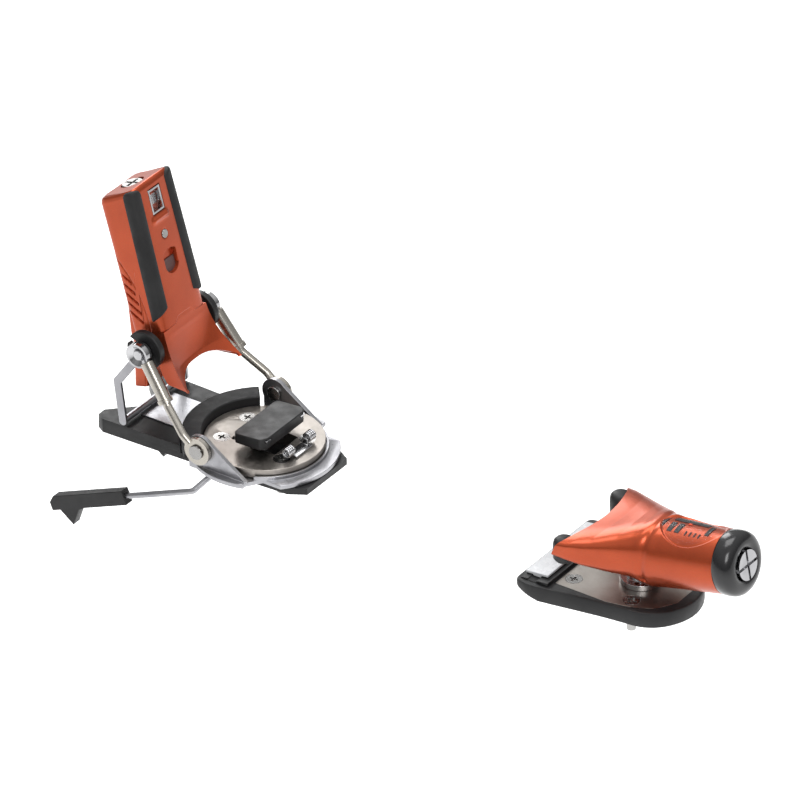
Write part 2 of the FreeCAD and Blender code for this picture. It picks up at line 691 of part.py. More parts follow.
def make_heel_housing():
    """Main shell with its spring bore, windows, rear cut-out for the cover, and axle block."""
    top = size("shell_top")
    shell = shell_blank()
    block_half = 20.5
    block_low = block(Vector(-10, -block_half, -10), Vector(9, block_half, size("shell_bottom")))
    shell = shell.fuse(block_low)
    rear_cut = block(Vector(-40, -60, -60), Vector(-size("shell_back") + size("cover_depth"), 60,
                                                   size("cover_top")))
    cuts = [rear_cut, strip_body(1), strip_body(-1)]
    cuts.append(Part.makeCylinder(size("bore_radius"), top, bore_axis + Vector(0, 0, 22), AXIS_Z))
    axle_bore = size("rivet_radius") + size("running_gap")
    cuts.append(Part.makeCylinder(axle_bore, 80, Vector(0, -40, 0), AXIS_Y))
    half = size("window_half")
    front = size("shell_front")
    cuts.append(block(Vector(front - size("lens_thick") - 1, -half, size("window_low")),
                      Vector(front + 5, half, size("window_high"))))
    cuts.append(block(Vector(-size("bore_back"), -half + 1, size("window_low") - 3),
                      Vector(front - 1, half - 1, size("window_high") + 2)))
    cuts.append(block(Vector(front - 4, -half, size("follower_low")),
                      Vector(front + 5, half, size("follower_high"))))
    cuts.append(Part.makeCylinder(1.5, 20, Vector(front - 4, 0, 62), AXIS_X))
    formed("heel_housing", shell.cut(cuts).removeSplitter(), leaning)


def make_spring_cover():
    """Slotted rear cover that runs down into a tail behind the axle."""
    back = -size("shell_back")
    front = back + size("cover_depth")
    bottom = size("cover_bottom")
    side_view = [(back, size("cover_top")), (front, size("cover_top")), (front, bottom - 6),
                 (front - 9, -32), (front - 17, -32), (back - 4, bottom)]
    cover_top = size("cover_top")
    front_view = [(-19, cover_top), (19, cover_top), (20, 14), (15, 4), (13, -32), (-13, -32),
                  (-15, 4), (-20, 14)]
    cover = prism(side_view, -40, 40).common(sheet_front(front_view, -60, 20))
    slots = []
    for index in range(5):
        up = 17 + index * 8
        for side in (-1, 1):
            slot = block(Vector(-2, -2, -1.1), Vector(2, 2, 1.1))
            slots.append(moved(turned(slot, AXIS_Y, 24), Vector(back + 1.5, side * 19.5, up)))
    barrel = Part.makeCylinder(size("bore_radius"), size("cover_top"), bore_axis + Vector(0, 0, 22), AXIS_Z)
    formed("spring_cover", cover.cut(slots + [barrel]).removeSplitter(), leaning)


def make_heel_cup():
    """Flared jaw below the shell, hollowed by the round of the boot heel, with two prongs."""
    half = size("cup_half")
    drop = size("cup_drop")
    reach = size("cup_reach")
    top = size("shell_bottom")
    front = size("shell_front")
    front_view = [(shell_half(top) - 2, top), (21.5, -4), (half - 4, -9.5), (half, -14), (half, 2 - drop),
                  (half - 2, -drop), (half - 5, -drop), (half - 8, -19), (half - 14, -15),
                  (half - 22, -12.5)]
    front_view = front_view + [(-across, up) for across, up in reversed(front_view)]
    side_view = [(9.2, top), (front, top), (front + 4, 5), (reach - 1.5, -17), (reach, -drop),
                 (reach - 7, -drop), (10, -12), (9.2, -9)]
    cup = prism(side_view, -60, 60).common(sheet_front(front_view, 0, 60))
    radius = size("boot_heel_radius")
    boot = Part.makeCone(radius, radius - 7, 40, Vector(reach + radius - 15.5, 0, -drop - 6),
                         Vector(-0.16, 0, 1))
    formed("heel_cup", cup.cut(boot).removeSplitter(), leaning)


def make_grip_strips():
    for name, side in SIDES.items():
        formed(f"grip_strip_{name}", strip_body(side), leaning)


def make_heel_window():
    """Bright frame, clear lens, and the sliding scale behind it."""
    half = size("window_half")
    low = size("window_low")
    high = size("window_high")
    front = size("shell_front")
    lens_back = front - size("lens_thick") - 1
    frame = block(Vector(lens_back, -half, low), Vector(front + 0.6, half, high))
    frame = frame.cut(block(Vector(0, 1.2 - half, low + 1.2), Vector(front + 9, half - 1.2, high - 1.2)))
    formed("heel_window_frame", frame, leaning)
    lens = block(Vector(lens_back, 1.2 - half, low + 1.2),
                 Vector(lens_back + size("lens_thick"), half - 1.2, high - 1.2))
    formed("heel_window_lens", lens, leaning)
    middle = (low + high) / 2
    scale = block(Vector(size("bore_radius") - size("bore_back") + 0.6, -half + 1.6, middle - 3),
                  Vector(lens_back - size("side_gap"), half - 1.6, middle + 3))
    formed("heel_scale_slider", scale, leaning)


def make_heel_small_parts():
    """Front screw, follower window slider, spring, its guide and the release screw."""
    front = size("shell_front")
    screw = Part.makeCylinder(1.5, 4, Vector(front - 4, 0, 62), AXIS_X)
    screw = screw.fuse(Part.makeCylinder(2.6, 1.1, Vector(front, 0, 62), AXIS_X))
    formed("heel_front_screw", screw.removeSplitter(), leaning)
    half = size("window_half") - size("side_gap")
    low = size("follower_low") + 1
    follower = block(Vector(front - 3.7, -half, low),
                     Vector(front - 1.5, half, size("follower_high") - size("follower_travel") - 0.6))
    formed("heel_follower", follower, leaning)
    wire = 1.2
    guide_low = 22
    spring_low = guide_low + 2
    top = size("shell_top")
    head = size("heel_screw_head")
    spring_top = top - 33
    spring = coil(size("bore_radius") - wire - 0.6, wire, spring_low + wire, spring_top - wire, 7)
    formed("heel_spring", moved(spring, bore_axis), leaning)
    guide = Part.makeCylinder(size("bore_radius") - 0.2, spring_low - guide_low,
                              bore_axis + Vector(0, 0, guide_low), AXIS_Z)
    guide = guide.fuse(Part.makeCylinder(2.5, 30, bore_axis + Vector(0, 0, spring_low), AXIS_Z))
    formed("heel_spring_guide", guide.removeSplitter(), leaning)
    face = top - size("shell_drop") * 0.6
    release = Part.makeCylinder(head, 4, bore_axis + Vector(0, 0, face - 4.4), AXIS_Z)
    release = release.fuse(Part.makeCylinder(3, 26, bore_axis + Vector(0, 0, face - 30), AXIS_Z))
    for long, wide in ((head * 0.8, 0.8), (0.8, head * 0.8)):
        release = release.cut(block(bore_axis + Vector(-long, -wide, face - 1.8),
                                    bore_axis + Vector(long, wide, face + 2)))
    formed("heel_release_screw", release.removeSplitter(), leaning)


# ---------------------------------------------------------------- ski brake

brake_axis = Vector(-size("brake_axis_back"), 0, size("brake_axis_height"))
pedal_pin = brake_axis + Vector(size("pin_ahead"), 0, size("pin_above"))


def brake_points(side):
    """Centre line of one brake arm from its axle stub, back and down to the claw."""
    wide = size("brake_half")
    return [Vector(brake_axis.x, side * (size("well_half") - 2.2), brake_axis.z),
            Vector(brake_axis.x, side * (size("base_rear_half") + 2), brake_axis.z),
            Vector(-19, side * wide, -7),
            Vector(-66, side * wide, -27)]


def make_brake():
    """Wires, pedal with its lugs, claws, bushes and return springs."""
    wire = size("brake_wire")
    arms = []
    for side in SIDES.values():
        points = brake_points(side)
        tail = points[-1] + (points[-1] - points[-2]).normalize() * 12
        pin = Vector(pedal_pin.x, points[0].y, pedal_pin.z)
        arm = bent_rod(points[:3] + [tail], wire, 4)
        crank = rod(points[0], pin, wire)
        stub = rod(pin, Vector(pin.x, side * 3.2, pin.z), wire)
        ball = Part.makeSphere(wire, points[0])
        elbow = Part.makeSphere(wire, pin)
        arms.append(arm.fuse([crank, stub, ball, elbow]).removeSplitter())
    formed("brake_wires", Part.makeCompound(arms))
    low = size("pedal_low")
    high = low + size("pedal_thick")
    half = size("pedal_half")
    rear = -size("pedal_back")
    front = size("pedal_front")
    deck = slab([(rear, 6 - half), (rear + 5, -half), (front - 3, -half), (front, 4 - half),
                 (front, half - 4), (front - 3, half), (rear + 5, half), (rear, half - 6)], low, high + 4)
    side_view = [(rear, low), (front, low + 1), (front, high + 1.8), (rear + 3, high)]
    deck = deck.common(prism(side_view, -40, 40))
    for side in (-1, 1):
        deck = deck.cut(block(Vector(front - 2, side * 17 - 2.2, high - 1.2),
                              Vector(front + 1, side * 17 + 2.2, high + 0.4)))
    formed("brake_pedal", deck.removeSplitter())
    lug = prism([(pedal_pin.x - 4, low), (pedal_pin.x - 3, pedal_pin.z - 3),
                 (pedal_pin.x + 3, pedal_pin.z - 3),
                 (pedal_pin.x + 5, low)], -7.2, 7.2)
    lug = lug.cut(Part.makeCylinder(wire + size("running_gap"), 20,
                                    Vector(pedal_pin.x, -10, pedal_pin.z), AXIS_Y))
    formed("brake_pedal_support", lug)
    pins = [block(Vector(front - 2, side * 17 - 2, high - 1),
                  Vector(front + 0.2, side * 17 + 2, high + 0.2))
            for side in (-1, 1)]
    formed("brake_pedal_clips", Part.makeCompound(pins))


def make_claws():
    """Plastic claw on the tail of each brake arm, with a spike at its end."""
    height = size("claw_height")
    for name, side in SIDES.items():
        points = brake_points(side)
        run = (points[-1] - points[-2]).normalize()
        slope = math.degrees(math.atan2(-run.z, -run.x))
        profile = [(0, -height / 2), (0, height / 2), (54, height / 2), (58, 1), (58, -height / 2),
                   (52, -height / 2), (46, -height / 2 - 10), (38, -height / 2 - 1), (33, -height / 2)]
        blade = prism([(-along, up) for along, up in profile], -3.2, 3.2)
        blade = turned(blade, AXIS_Y, -slope)
        blade = moved(blade, points[-1])
        socket = rod(points[-1] - run * 2, points[-1] + run * 12, size("brake_wire"))
        formed(f"brake_claw_{name}", blade.cut(socket))


# ---------------------------------------------------------------- toe unit

toe = Vector(size("toe_offset"), 0, 0)
toe_place = Placement(toe, Rotation())
TOE_ROWS = ("toe_screw_back", "toe_screw_front")
toe_spots = [(-size(back), side * size("toe_screw_half")) for back in TOE_ROWS for side in (-1, 1)]
toe_names = [(f"-{back}", f"{side}toe_screw_half") for back in TOE_ROWS for side in ("-", "")]
nose_start = Vector(-size("post_back"), 0, size("nose_height"))
nose_run = Vector(math.cos(math.radians(size("nose_lift"))), 0, math.sin(math.radians(size("nose_lift"))))
nose_place = Placement(toe + nose_start, Rotation(AXIS_Y, 90 - size("nose_lift")))


def make_toe_base():
    """Black base with a rounded front, a raised chamfered tail and a bed for the steel plate."""
    body = new_body("ToeBase")
    half = [("-toe_rear", "toe_rear_half - 2"), ("-toe_rear + 9", "toe_rear_half"),
            ("-steel_back + 3", "toe_rear_half - 2.7"), ("-29", "toe_front_half + 4.4"),
            ("-14", "toe_front_half + 1.8"), ("0", "toe_front_half"), ("8", "toe_front_half - 1"),
            ("13", "toe_front_half - 3"), ("18", "toe_front_half - 6.5"),
            ("23", "toe_front_half - 13"), ("26", "8.4"), ("toe_front", "3")]
    pad(body, outline(body, "XY_Plane", mirrored(half)), "toe_height")
    bed = [("-steel_back", "toe_front_half - 0.3"), ("-14", "toe_front_half - 0.3"),
           ("4", "toe_front_half - 4"), ("13", "toe_front_half - 10"), ("20", "8")]
    pocket(body, outline(body, "XY_Plane", mirrored(bed), "toe_height"), "steel_thick")
    holes = circles(body, "XY_Plane", toe_names, "screw_radius + screw_gap", "toe_height")
    pocket(body, holes, "toe_height")
    seat = "toe_height - steel_thick"
    pocket(body, circles(body, "XY_Plane", toe_names, "screw_radius + head_flare - steel_thick", seat),
           "head_flare - steel_thick")
    tail = [("-toe_rear - 1", "-1"), ("-toe_rear + 16", "-1"), ("-toe_rear + 15", "0"),
            ("-toe_rear - 1", "6")]
    wedge = outline(body, "XZ_Plane", tail, "-toe_rear_half - 1")
    pocket(body, wedge, "2*toe_rear_half + 2", upward=True)
    keep(body, "toe_base_plate", toe_place)


def make_steel_plate():
    """Steel plate in the bed of the toe base."""
    body = new_body("SteelPlate")
    half = [("-steel_back", "toe_front_half - 0.3"), ("-14", "toe_front_half - 0.3"),
            ("4", "toe_front_half - 4"), ("13", "toe_front_half - 10"), ("20", "8")]
    low = "toe_height - steel_thick"
    pad(body, outline(body, "XY_Plane", mirrored(half), low), "steel_thick")
    seats = circles(body, "XY_Plane", toe_names, "screw_radius + head_flare", "toe_height")
    pocket(body, seats, "steel_thick")
    post_hole = circles(body, "XY_Plane", [("-post_back", "0")], "post_radius", "toe_height")
    pocket(body, post_hole, "steel_thick")
    keep(body, "toe_steel_plate", toe_place)


def make_post():
    """Pivot post riveted through the steel plate, with a shoulder under the toe head."""
    low = size("toe_height") - size("steel_thick")
    spot = Vector(-size("post_back"), 0, 0)
    post = Part.makeCylinder(size("post_radius"), size("post_top") - low, spot + Vector(0, 0, low), AXIS_Z)
    shoulder = Part.makeCylinder(size("post_radius") + 4, size("head_bottom") - size("toe_height") - 0.3,
                                 spot + Vector(0, 0, size("toe_height")), AXIS_Z)
    formed("toe_pivot_post", post.fuse(shoulder).removeSplitter(), toe_place)


def make_afd():
    """Carrier at the back of the toe base and the plate that slides across it."""
    back = size("toe_rear") - 3
    top = size("toe_height")
    length = size("afd_length")
    slope = 1.6
    rail = prism([(-back, top), (-back, top + 0.6), (-back + length + 3, top + 0.6 + slope),
                  (-back + length + 3, top)], -size("afd_half") - 5, size("afd_half") + 5)
    groove_half = 3
    groove_rear = -back + length / 2 - groove_half
    groove_front = -back + length / 2 + groove_half
    rail = rail.cut(prism([(groove_rear, top + 0.3), (groove_front, top + 0.3),
                           (groove_front, top + 9), (groove_rear, top + 9)],
                          -90, 90))
    formed("afd_carrier", rail, toe_place)
    gap = size("side_gap")
    low = top + 0.6 + gap
    thick = size("afd_thick")
    plate = prism([(-back, low), (-back, low + thick), (-back + length, low + thick + slope),
                   (-back + length, low + slope)], -size("afd_half"), size("afd_half"))
    key = block(Vector(-back + length / 2 - groove_half + gap, -size("afd_half"), top + 0.3 + gap),
                Vector(-back + length / 2 + groove_half - gap, size("afd_half"), low + slope))
    formed("afd_plate", plate.fuse(key).removeSplitter(), toe_place)


def nose_radius(along):
    share = along / size("nose_length")
    return size("nose_rear_radius") + share * (size("nose_front_radius") - size("nose_rear_radius"))


def lug_shape(side):
    """Upright rounded lug at the end of a wing."""
    low = Vector(-size("lug_back"), side * size("lug_half"), size("lug_height") - size("lug_length") / 2)
    body = Part.makeCylinder(size("lug_radius"), size("lug_length"), low, AXIS_Z)
    return body.makeFillet(size("lug_radius") * 0.45, [body.Edges[0], body.Edges[2]])


def make_toe_housing():
    """Nose cone over the spring and two wings that sweep back to the lugs."""
    length = size("nose_length")
    nose = Part.makeCone(size("nose_rear_radius"), size("nose_front_radius"), length)
    nose.Placement = Placement(nose_start, nose_place.Rotation)
    post_x = -size("post_back")
    lug_x = -size("lug_back")
    wide = size("lug_half")
    thick = size("wing_thick")
    plan = [(post_x + 22, 0), (post_x + 22, 17), (post_x + 2, 21), (post_x - 14, wide - 1),
            (lug_x - 1, wide + thick / 2 + 1), (lug_x - 1, wide - thick / 2 - 1),
            (post_x - 22, wide - thick - 5), (post_x - 14, 0)]
    plan = plan + [(along, -across) for along, across in reversed(plan)]
    low = size("head_bottom")
    height = size("lug_height")
    side_view = [(post_x + 22, low), (post_x - 5, low), (post_x - 22, low + 2), (lug_x - 2, height - 9),
                 (lug_x - 2, height + 7), (post_x - 20, height + 12), (post_x + 2, height + 18),
                 (post_x + 22, height + 16)]
    wings = slab(plan, 0, 80).common(prism(side_view, -90, 90))
    head = nose.fuse(wings)
    head = head.common(block(Vector(-100, -100, low), Vector(200, 100, 200)))
    cuts = [lug_shape(1), lug_shape(-1)]
    cuts.append(Part.makeCylinder(size("post_radius") + size("running_gap"), size("post_top") - low + 1.4,
                                  Vector(post_x, 0, low - 1), AXIS_Z))
    bore = Part.makeCylinder(size("spring_radius") + 1.5, length - 12, Vector(0, 0, 14), AXIS_Z)
    bore.Placement = Placement(nose_start, nose_place.Rotation)
    cuts.append(bore)
    window = block(Vector(-size("nose_rear_radius") - 4, -9.5, 16), Vector(-13, 9.5, 50))
    window.Placement = Placement(nose_start, nose_place.Rotation)
    cuts.append(window)
    formed("toe_housing", head.cut(cuts).removeSplitter(), toe_place)


def make_toe_lugs():
    for name, side in SIDES.items():
        formed(f"toe_lug_{name}", lug_shape(side), toe_place)


def make_toe_nose_parts():
    """End cap, release screw, spring, piston, scale and its lens, along the nose's own axis."""
    length = size("nose_length")
    head = size("toe_screw_head")
    stem = 4
    cap = Part.makeCylinder(size("cap_radius"), size("cap_thick"), Vector(0, 0, length), AXIS_Z)
    cap = cap.makeFillet(4, [cap.Edges[0]])
    cap = cap.cut(Part.makeCylinder(head + 0.4, size("cap_thick"), Vector(0, 0, length + 2), AXIS_Z))
    cap = cap.cut(Part.makeCylinder(stem + size("running_gap"), length, Vector(0, 0, length - 5), AXIS_Z))
    formed("toe_end_cap", cap, nose_place)
    face = length + size("cap_thick") + 0.8
    screw = Part.makeCylinder(head, face - length - 2.3, Vector(0, 0, length + 2.3), AXIS_Z)
    screw = screw.fuse(Part.makeCylinder(stem, length - 27, Vector(0, 0, 30), AXIS_Z))
    for long, wide in ((head + 1, 0.9), (0.9, head + 1)):
        screw = screw.cut(block(Vector(-long, -wide, face - 2.2), Vector(long, wide, face + 1)))
    formed("toe_release_screw", screw.removeSplitter(), nose_place)
    radius = size("spring_radius")
    wire = size("spring_wire")
    piston_low = 14.2
    piston_high = 18
    piston = Part.makeCylinder(radius + 1.4, piston_high - piston_low, Vector(0, 0, piston_low), AXIS_Z)
    formed("toe_piston", piston, nose_place)
    spring = coil(radius - wire, wire, piston_high + wire, length - wire - 3, 6)
    formed("toe_spring", spring, nose_place)
    inner = -size("spring_radius")
    plate = block(Vector(inner - 4.0, -9, 16.5), Vector(inner - 2.4, 9, 49.5))
    slot = block(Vector(-60, -1.5, 22), Vector(0, 1.5, 45))
    formed("toe_scale_plate", plate.cut(slot), nose_place)
    pointer = block(Vector(inner - 4.9, -4, 32), Vector(inner - 4.2, 4, 34.5))
    formed("toe_scale_pointer", pointer, nose_place)
    lens = block(Vector(-nose_radius(33) - 3, -9.4, 16.2), Vector(-nose_radius(33) + 2.2, 9.4, 49.8))
    skin = Part.makeCone(nose_radius(0), nose_radius(length), length, Vector(0, 0, 0), AXIS_Z)
    inside = Part.makeCone(nose_radius(0) - 1.4, nose_radius(length) - 1.4, length, Vector(0, 0, 0), AXIS_Z)
    formed("toe_window_lens", lens.common(skin).cut(inside), nose_place)


# ---------------------------------------------------------------- the whole binding

make_heel_base()
make_slide_plate()
make_disc()
make_screws("heel_mounting_screws", screw_spots, size("disc_top"))
make_brake_bracket()
make_brake_springs()
make_bracket()
make_crescent()
make_rivets()
make_arms()
make_axle()
make_bail()
make_collars()
make_heel_housing()
make_spring_cover()
make_heel_cup()
make_grip_strips()
make_heel_window()
make_heel_small_parts()
make_brake()
make_claws()
make_toe_base()
make_steel_plate()
make_screws("toe_mounting_screws", [(toe.x + x, y) for x, y in toe_spots], size("toe_height"))
make_post()
make_afd()
make_toe_housing()
make_toe_lugs()
make_toe_nose_parts()
doc.recompute()

for item in doc.Objects:
    if "Invalid" in item.State or "Error" in item.State:
        raise RuntimeError(f"{item.Name} ({item.Label}) failed: {item.State}")
for item in NODES:
    if item.Shape.isNull() or not item.Shape.isValid():
        raise RuntimeError(f"{item.Label} has no valid shape")

os.makedirs("parts", exist_ok=True)
for item in NODES:
    item.Shape.exportStep(f"parts/{item.Label}.step")
print(f"{len(NODES)} sub-parts")
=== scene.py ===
import json
import math

import bmesh
import bpy
import numpy as np
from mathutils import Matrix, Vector


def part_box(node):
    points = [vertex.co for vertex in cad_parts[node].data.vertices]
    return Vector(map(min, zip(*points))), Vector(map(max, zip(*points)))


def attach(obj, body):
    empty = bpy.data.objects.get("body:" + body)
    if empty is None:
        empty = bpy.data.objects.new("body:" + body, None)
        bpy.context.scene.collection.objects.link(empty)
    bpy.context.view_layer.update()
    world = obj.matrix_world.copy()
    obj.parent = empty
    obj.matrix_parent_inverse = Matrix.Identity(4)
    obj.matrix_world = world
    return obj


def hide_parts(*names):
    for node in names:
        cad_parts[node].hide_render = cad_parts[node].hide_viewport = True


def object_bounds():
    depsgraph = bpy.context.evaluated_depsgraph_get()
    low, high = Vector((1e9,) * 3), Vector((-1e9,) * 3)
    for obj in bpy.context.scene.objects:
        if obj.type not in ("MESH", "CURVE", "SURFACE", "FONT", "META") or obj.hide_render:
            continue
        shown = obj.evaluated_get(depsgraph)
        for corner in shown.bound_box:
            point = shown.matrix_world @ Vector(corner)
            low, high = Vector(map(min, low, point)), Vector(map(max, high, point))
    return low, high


# Looks of an alpine ski binding: a turntable heel unit and a toe unit on one centre line.
# Metres; +X forward to the ski tip, +Y left, +Z up from the ski.

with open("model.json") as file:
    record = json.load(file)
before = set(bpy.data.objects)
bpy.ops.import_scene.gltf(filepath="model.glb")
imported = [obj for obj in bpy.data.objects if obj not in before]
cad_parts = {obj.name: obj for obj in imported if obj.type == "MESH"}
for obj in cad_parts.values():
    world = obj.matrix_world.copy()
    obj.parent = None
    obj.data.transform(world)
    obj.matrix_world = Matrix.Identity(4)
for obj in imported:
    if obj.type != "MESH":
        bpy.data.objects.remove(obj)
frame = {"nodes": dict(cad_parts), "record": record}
CAD_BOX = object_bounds()
MM = 0.001


# ---------------------------------------------------------------- places, read from the frame

def joint(name):
    """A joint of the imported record, by name."""
    return next(one for one in frame["record"]["behaviour"]["joints"] if one["name"] == name)


def middle(node):
    """The middle of a node's box."""
    low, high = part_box(node)
    return (np.array(low) + np.array(high)) / 2


AXLE = np.array(joint("housing_tilt")["pos_m"])
LEVER_UP = np.array(joint("heel_scale_slide")["axis"])
LEVER_FORE = np.array([LEVER_UP[2], 0, -LEVER_UP[0]])
TOE_POST = np.array(joint("toe_head_turn")["pos_m"])
TOE = TOE_POST * [1, 1, 0] + [10 * MM, 0, 0]
NOSE_AXIS = np.array(joint("toe_screw_turn")["axis"])
NOSE_START = np.array(joint("toe_screw_turn")["pos_m"])
NOSE_UP = np.array([-NOSE_AXIS[2], 0, NOSE_AXIS[0]])


def on_lever(fore, across, up):
    """Points of the leaning heel housing, from millimetres ahead of, beside and above its axle."""
    fore, across, up = np.broadcast_arrays(fore, across, up)
    side = np.array([0, 1, 0])
    return AXLE + MM * (fore[..., None] * LEVER_FORE + across[..., None] * side
                        + up[..., None] * LEVER_UP)


def on_toe(fore, across, up):
    """Points of the toe unit, from millimetres ahead of its frame, beside it and above the ski."""
    fore, across, up = np.broadcast_arrays(fore, across, up)
    return TOE + MM * np.stack([fore, across, up], axis=-1)


def on_nose(along, across, up):
    """Points about the toe's nose axis: millimetres along it, across it and above it."""
    along, across, up = np.broadcast_arrays(along, across, up)
    side = np.array([0, 1, 0])
    return NOSE_START + MM * (along[..., None] * NOSE_AXIS + across[..., None] * side
                              + up[..., None] * NOSE_UP)


# ---------------------------------------------------------------- mesh tools

def new_object(name, verts, faces):
    """An object of its own, linked to the scene, from points in metres and faces as index lists."""
    mesh = bpy.data.meshes.new(name)
    mesh.from_pydata(np.asarray(verts).reshape(-1, 3).tolist(), [], faces)
    mesh.validate()
    item = bpy.data.objects.new(name, mesh)
    bpy.context.scene.collection.objects.link(item)
    return item


def grid_faces(rows, columns):
    """Quads of a grid of points in row order; the last column joins the first."""
    row = np.arange(rows - 1)[:, None]
    column = np.arange(columns)[None, :]
    here = row * columns + column
    right = row * columns + (column + 1) % columns
    return np.stack([here, right, right + columns, here + columns], axis=-1).reshape(-1, 4).tolist()


def tidy_mesh(item, merge=2e-6):
    """Merges doubles and turns every face outward."""
    work = bmesh.new()
    work.from_mesh(item.data)
    bmesh.ops.remove_doubles(work, verts=work.verts, dist=merge)
    bmesh.ops.dissolve_degenerate(work, edges=work.edges, dist=merge / 4)
    bmesh.ops.recalc_face_normals(work, faces=work.faces)
    work.to_mesh(item.data)
    work.free()
    return item


def smooth(item, angle=35):
    """Smooth shading with edges sharper than the angle kept sharp."""
    item.data.shade_smooth()
    item.data.set_sharp_from_angle(angle=math.radians(angle))
    return item


def surface(name, points, angle=35):
    """A grid of points as a closed surface: each row is a loop, and the end loops close onto their mean."""
    points = np.asarray(points, dtype=float)
    columns = points.shape[1]
    first, last = (np.broadcast_to(end.mean(axis=1, keepdims=True), (1, columns, 3))
                   for end in (points[:1], points[-1:]))
    stacked = np.concatenate([first, points, last])
    item = new_object(name, stacked, grid_faces(len(stacked), columns))
    return smooth(tidy_mesh(item), angle)


def folded(name, points, partner, angle=35):
    """A grid of loops as a closed surface: at each end every point goes halfway to its partner's place."""
    points = np.asarray(points, dtype=float)
    first = (points[:1] + points[:1][:, partner]) / 2
    last = (points[-1:] + points[-1:][:, partner]) / 2
    stacked = np.concatenate([first, points, last])
    item = new_object(name, stacked, grid_faces(len(stacked), points.shape[1]))
    return smooth(tidy_mesh(item), angle)


def lathe(name, centre, axis, profile, count=72, angle=35):
    """A profile of (distance along, radius) pairs in millimetres, spun about an axis."""
    axis = np.array(axis, dtype=float)
    axis /= np.linalg.norm(axis)
    helper = np.array([0, 0, 1.0]) if abs(axis[2]) < 0.9 else np.array([1.0, 0, 0])
    one = np.cross(axis, helper)
    one /= np.linalg.norm(one)
    two = np.cross(axis, one)
    turn = np.linspace(0, 2 * np.pi, count, endpoint=False)
    spoke = np.cos(turn)[:, None] * one + np.sin(turn)[:, None] * two
    profile = np.array(profile, dtype=float) * MM
    points = np.array(centre) + profile[:, None, :1] * axis + profile[:, None, 1:] * spoke[None]
    return surface(name, points, angle=angle)


def ease(item, width, segments=2, angle=35):
    """A small round on every edge sharper than the angle."""
    round_off = item.modifiers.new("eased_edges", "BEVEL")
    round_off.width = width * MM
    round_off.segments = segments
    round_off.limit_method = "ANGLE"
    round_off.angle_limit = math.radians(angle)
    round_off.harden_normals = False
    return item


def softened(node, width, segments=2, angle=30):
    """A merged copy of a CAD node with its flat faces joined up and its edges eased."""
    source = frame["nodes"][node]
    item = bpy.data.objects.new(f"{node}_finished", source.data.copy())
    item.data.materials.clear()
    bpy.context.scene.collection.objects.link(item)
    work = bmesh.new()
    work.from_mesh(item.data)
    bmesh.ops.remove_doubles(work, verts=work.verts, dist=1e-6)
    bmesh.ops.dissolve_limit(work, angle_limit=math.radians(1.0), verts=work.verts, edges=work.edges)
    bmesh.ops.recalc_face_normals(work, faces=work.faces)
    work.to_mesh(item.data)
    work.free()
    ease(item, width, segments, angle)
    return smooth(item, angle)


BODY_OF = {node: body for body, nodes in frame["record"]["behaviour"]["bodies"].items() for node in nodes}
SLOT_OF = {part["node"]: part["material_slot"] for part in frame["record"]["subparts"]}


def finish_piece(item, material, body, replaces=()):
    """Gives a piece its finish, the body it rides on and the nodes that it stands for."""
    item.data.materials.clear()
    item.data.materials.append(material)
    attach(item, body)
    if replaces:
        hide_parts(*replaces)
    return item


# ---------------------------------------------------------------- finishes

class Finish:
    """A material built node by node; every pattern reads Object coordinates, with scales per metre."""

    def __init__(self, name):
        self.material = bpy.data.materials.new(name)
        self.material.use_nodes = True
        self.tree = self.material.node_tree
        self.shader = self.tree.nodes["Principled BSDF"]
        self.place = self.tree.nodes.new("ShaderNodeTexCoord").outputs["Object"]

    def link(self, source, target):
        """Joins an output to an input."""
        self.tree.links.new(source, target)

    def set(self, **values):
        """Constants on the shader's own sockets; an underscore stands for a space."""
        for name, value in values.items():
            self.shader.inputs[name.replace("_", " ")].default_value = value

    def noise(self, scale, detail=3.0, stretch=None):
        """Noise with a scale per metre, stretched along an axis for a brushed grain."""
        where = self.place
        if stretch:
            mapping = self.tree.nodes.new("ShaderNodeMapping")
            mapping.inputs["Scale"].default_value = stretch
            self.link(where, mapping.inputs["Vector"])
            where = mapping.outputs["Vector"]
        node = self.tree.nodes.new("ShaderNodeTexNoise")
        node.inputs["Scale"].default_value = scale
        node.inputs["Detail"].default_value = detail
        self.link(where, node.inputs["Vector"])
        return node.outputs["Fac"]

    def cells(self, scale):
        """A flat random tone in each cell of a Voronoi pattern."""
        node = self.tree.nodes.new("ShaderNodeTexVoronoi")
        node.inputs["Scale"].default_value = scale
        self.link(self.place, node.inputs["Vector"])
        return node.outputs["Color"]

    def remap(self, source, low, high, start=0.0, end=1.0):
        """A value from start to end stretched to run from low to high."""
        node = self.tree.nodes.new("ShaderNodeMapRange")
        for name, value in (("From Min", start), ("From Max", end), ("To Min", low), ("To Max", high)):
            node.inputs[name].default_value = value
        self.link(source, node.inputs["Value"])
        return node.outputs["Result"]

    def blend(self, factor, dark, light):
        """A colour between two."""
        node = self.tree.nodes.new("ShaderNodeMix")
        node.data_type = "RGBA"
        node.inputs["A"].default_value = (*dark, 1)
        node.inputs["B"].default_value = (*light, 1)
        self.link(factor, node.inputs["Factor"])
        return node.outputs["Result"]

    def bump(self, height, strength, distance):
        """Fine relief, added to any that the shader already has."""
        node = self.tree.nodes.new("ShaderNodeBump")
        node.inputs["Strength"].default_value = strength
        node.inputs["Distance"].default_value = distance
        self.link(height, node.inputs["Height"])
        if self.shader.inputs["Normal"].is_linked:
            self.link(self.shader.inputs["Normal"].links[0].from_socket, node.inputs["Normal"])
        self.link(node.outputs["Normal"], self.shader.inputs["Normal"])


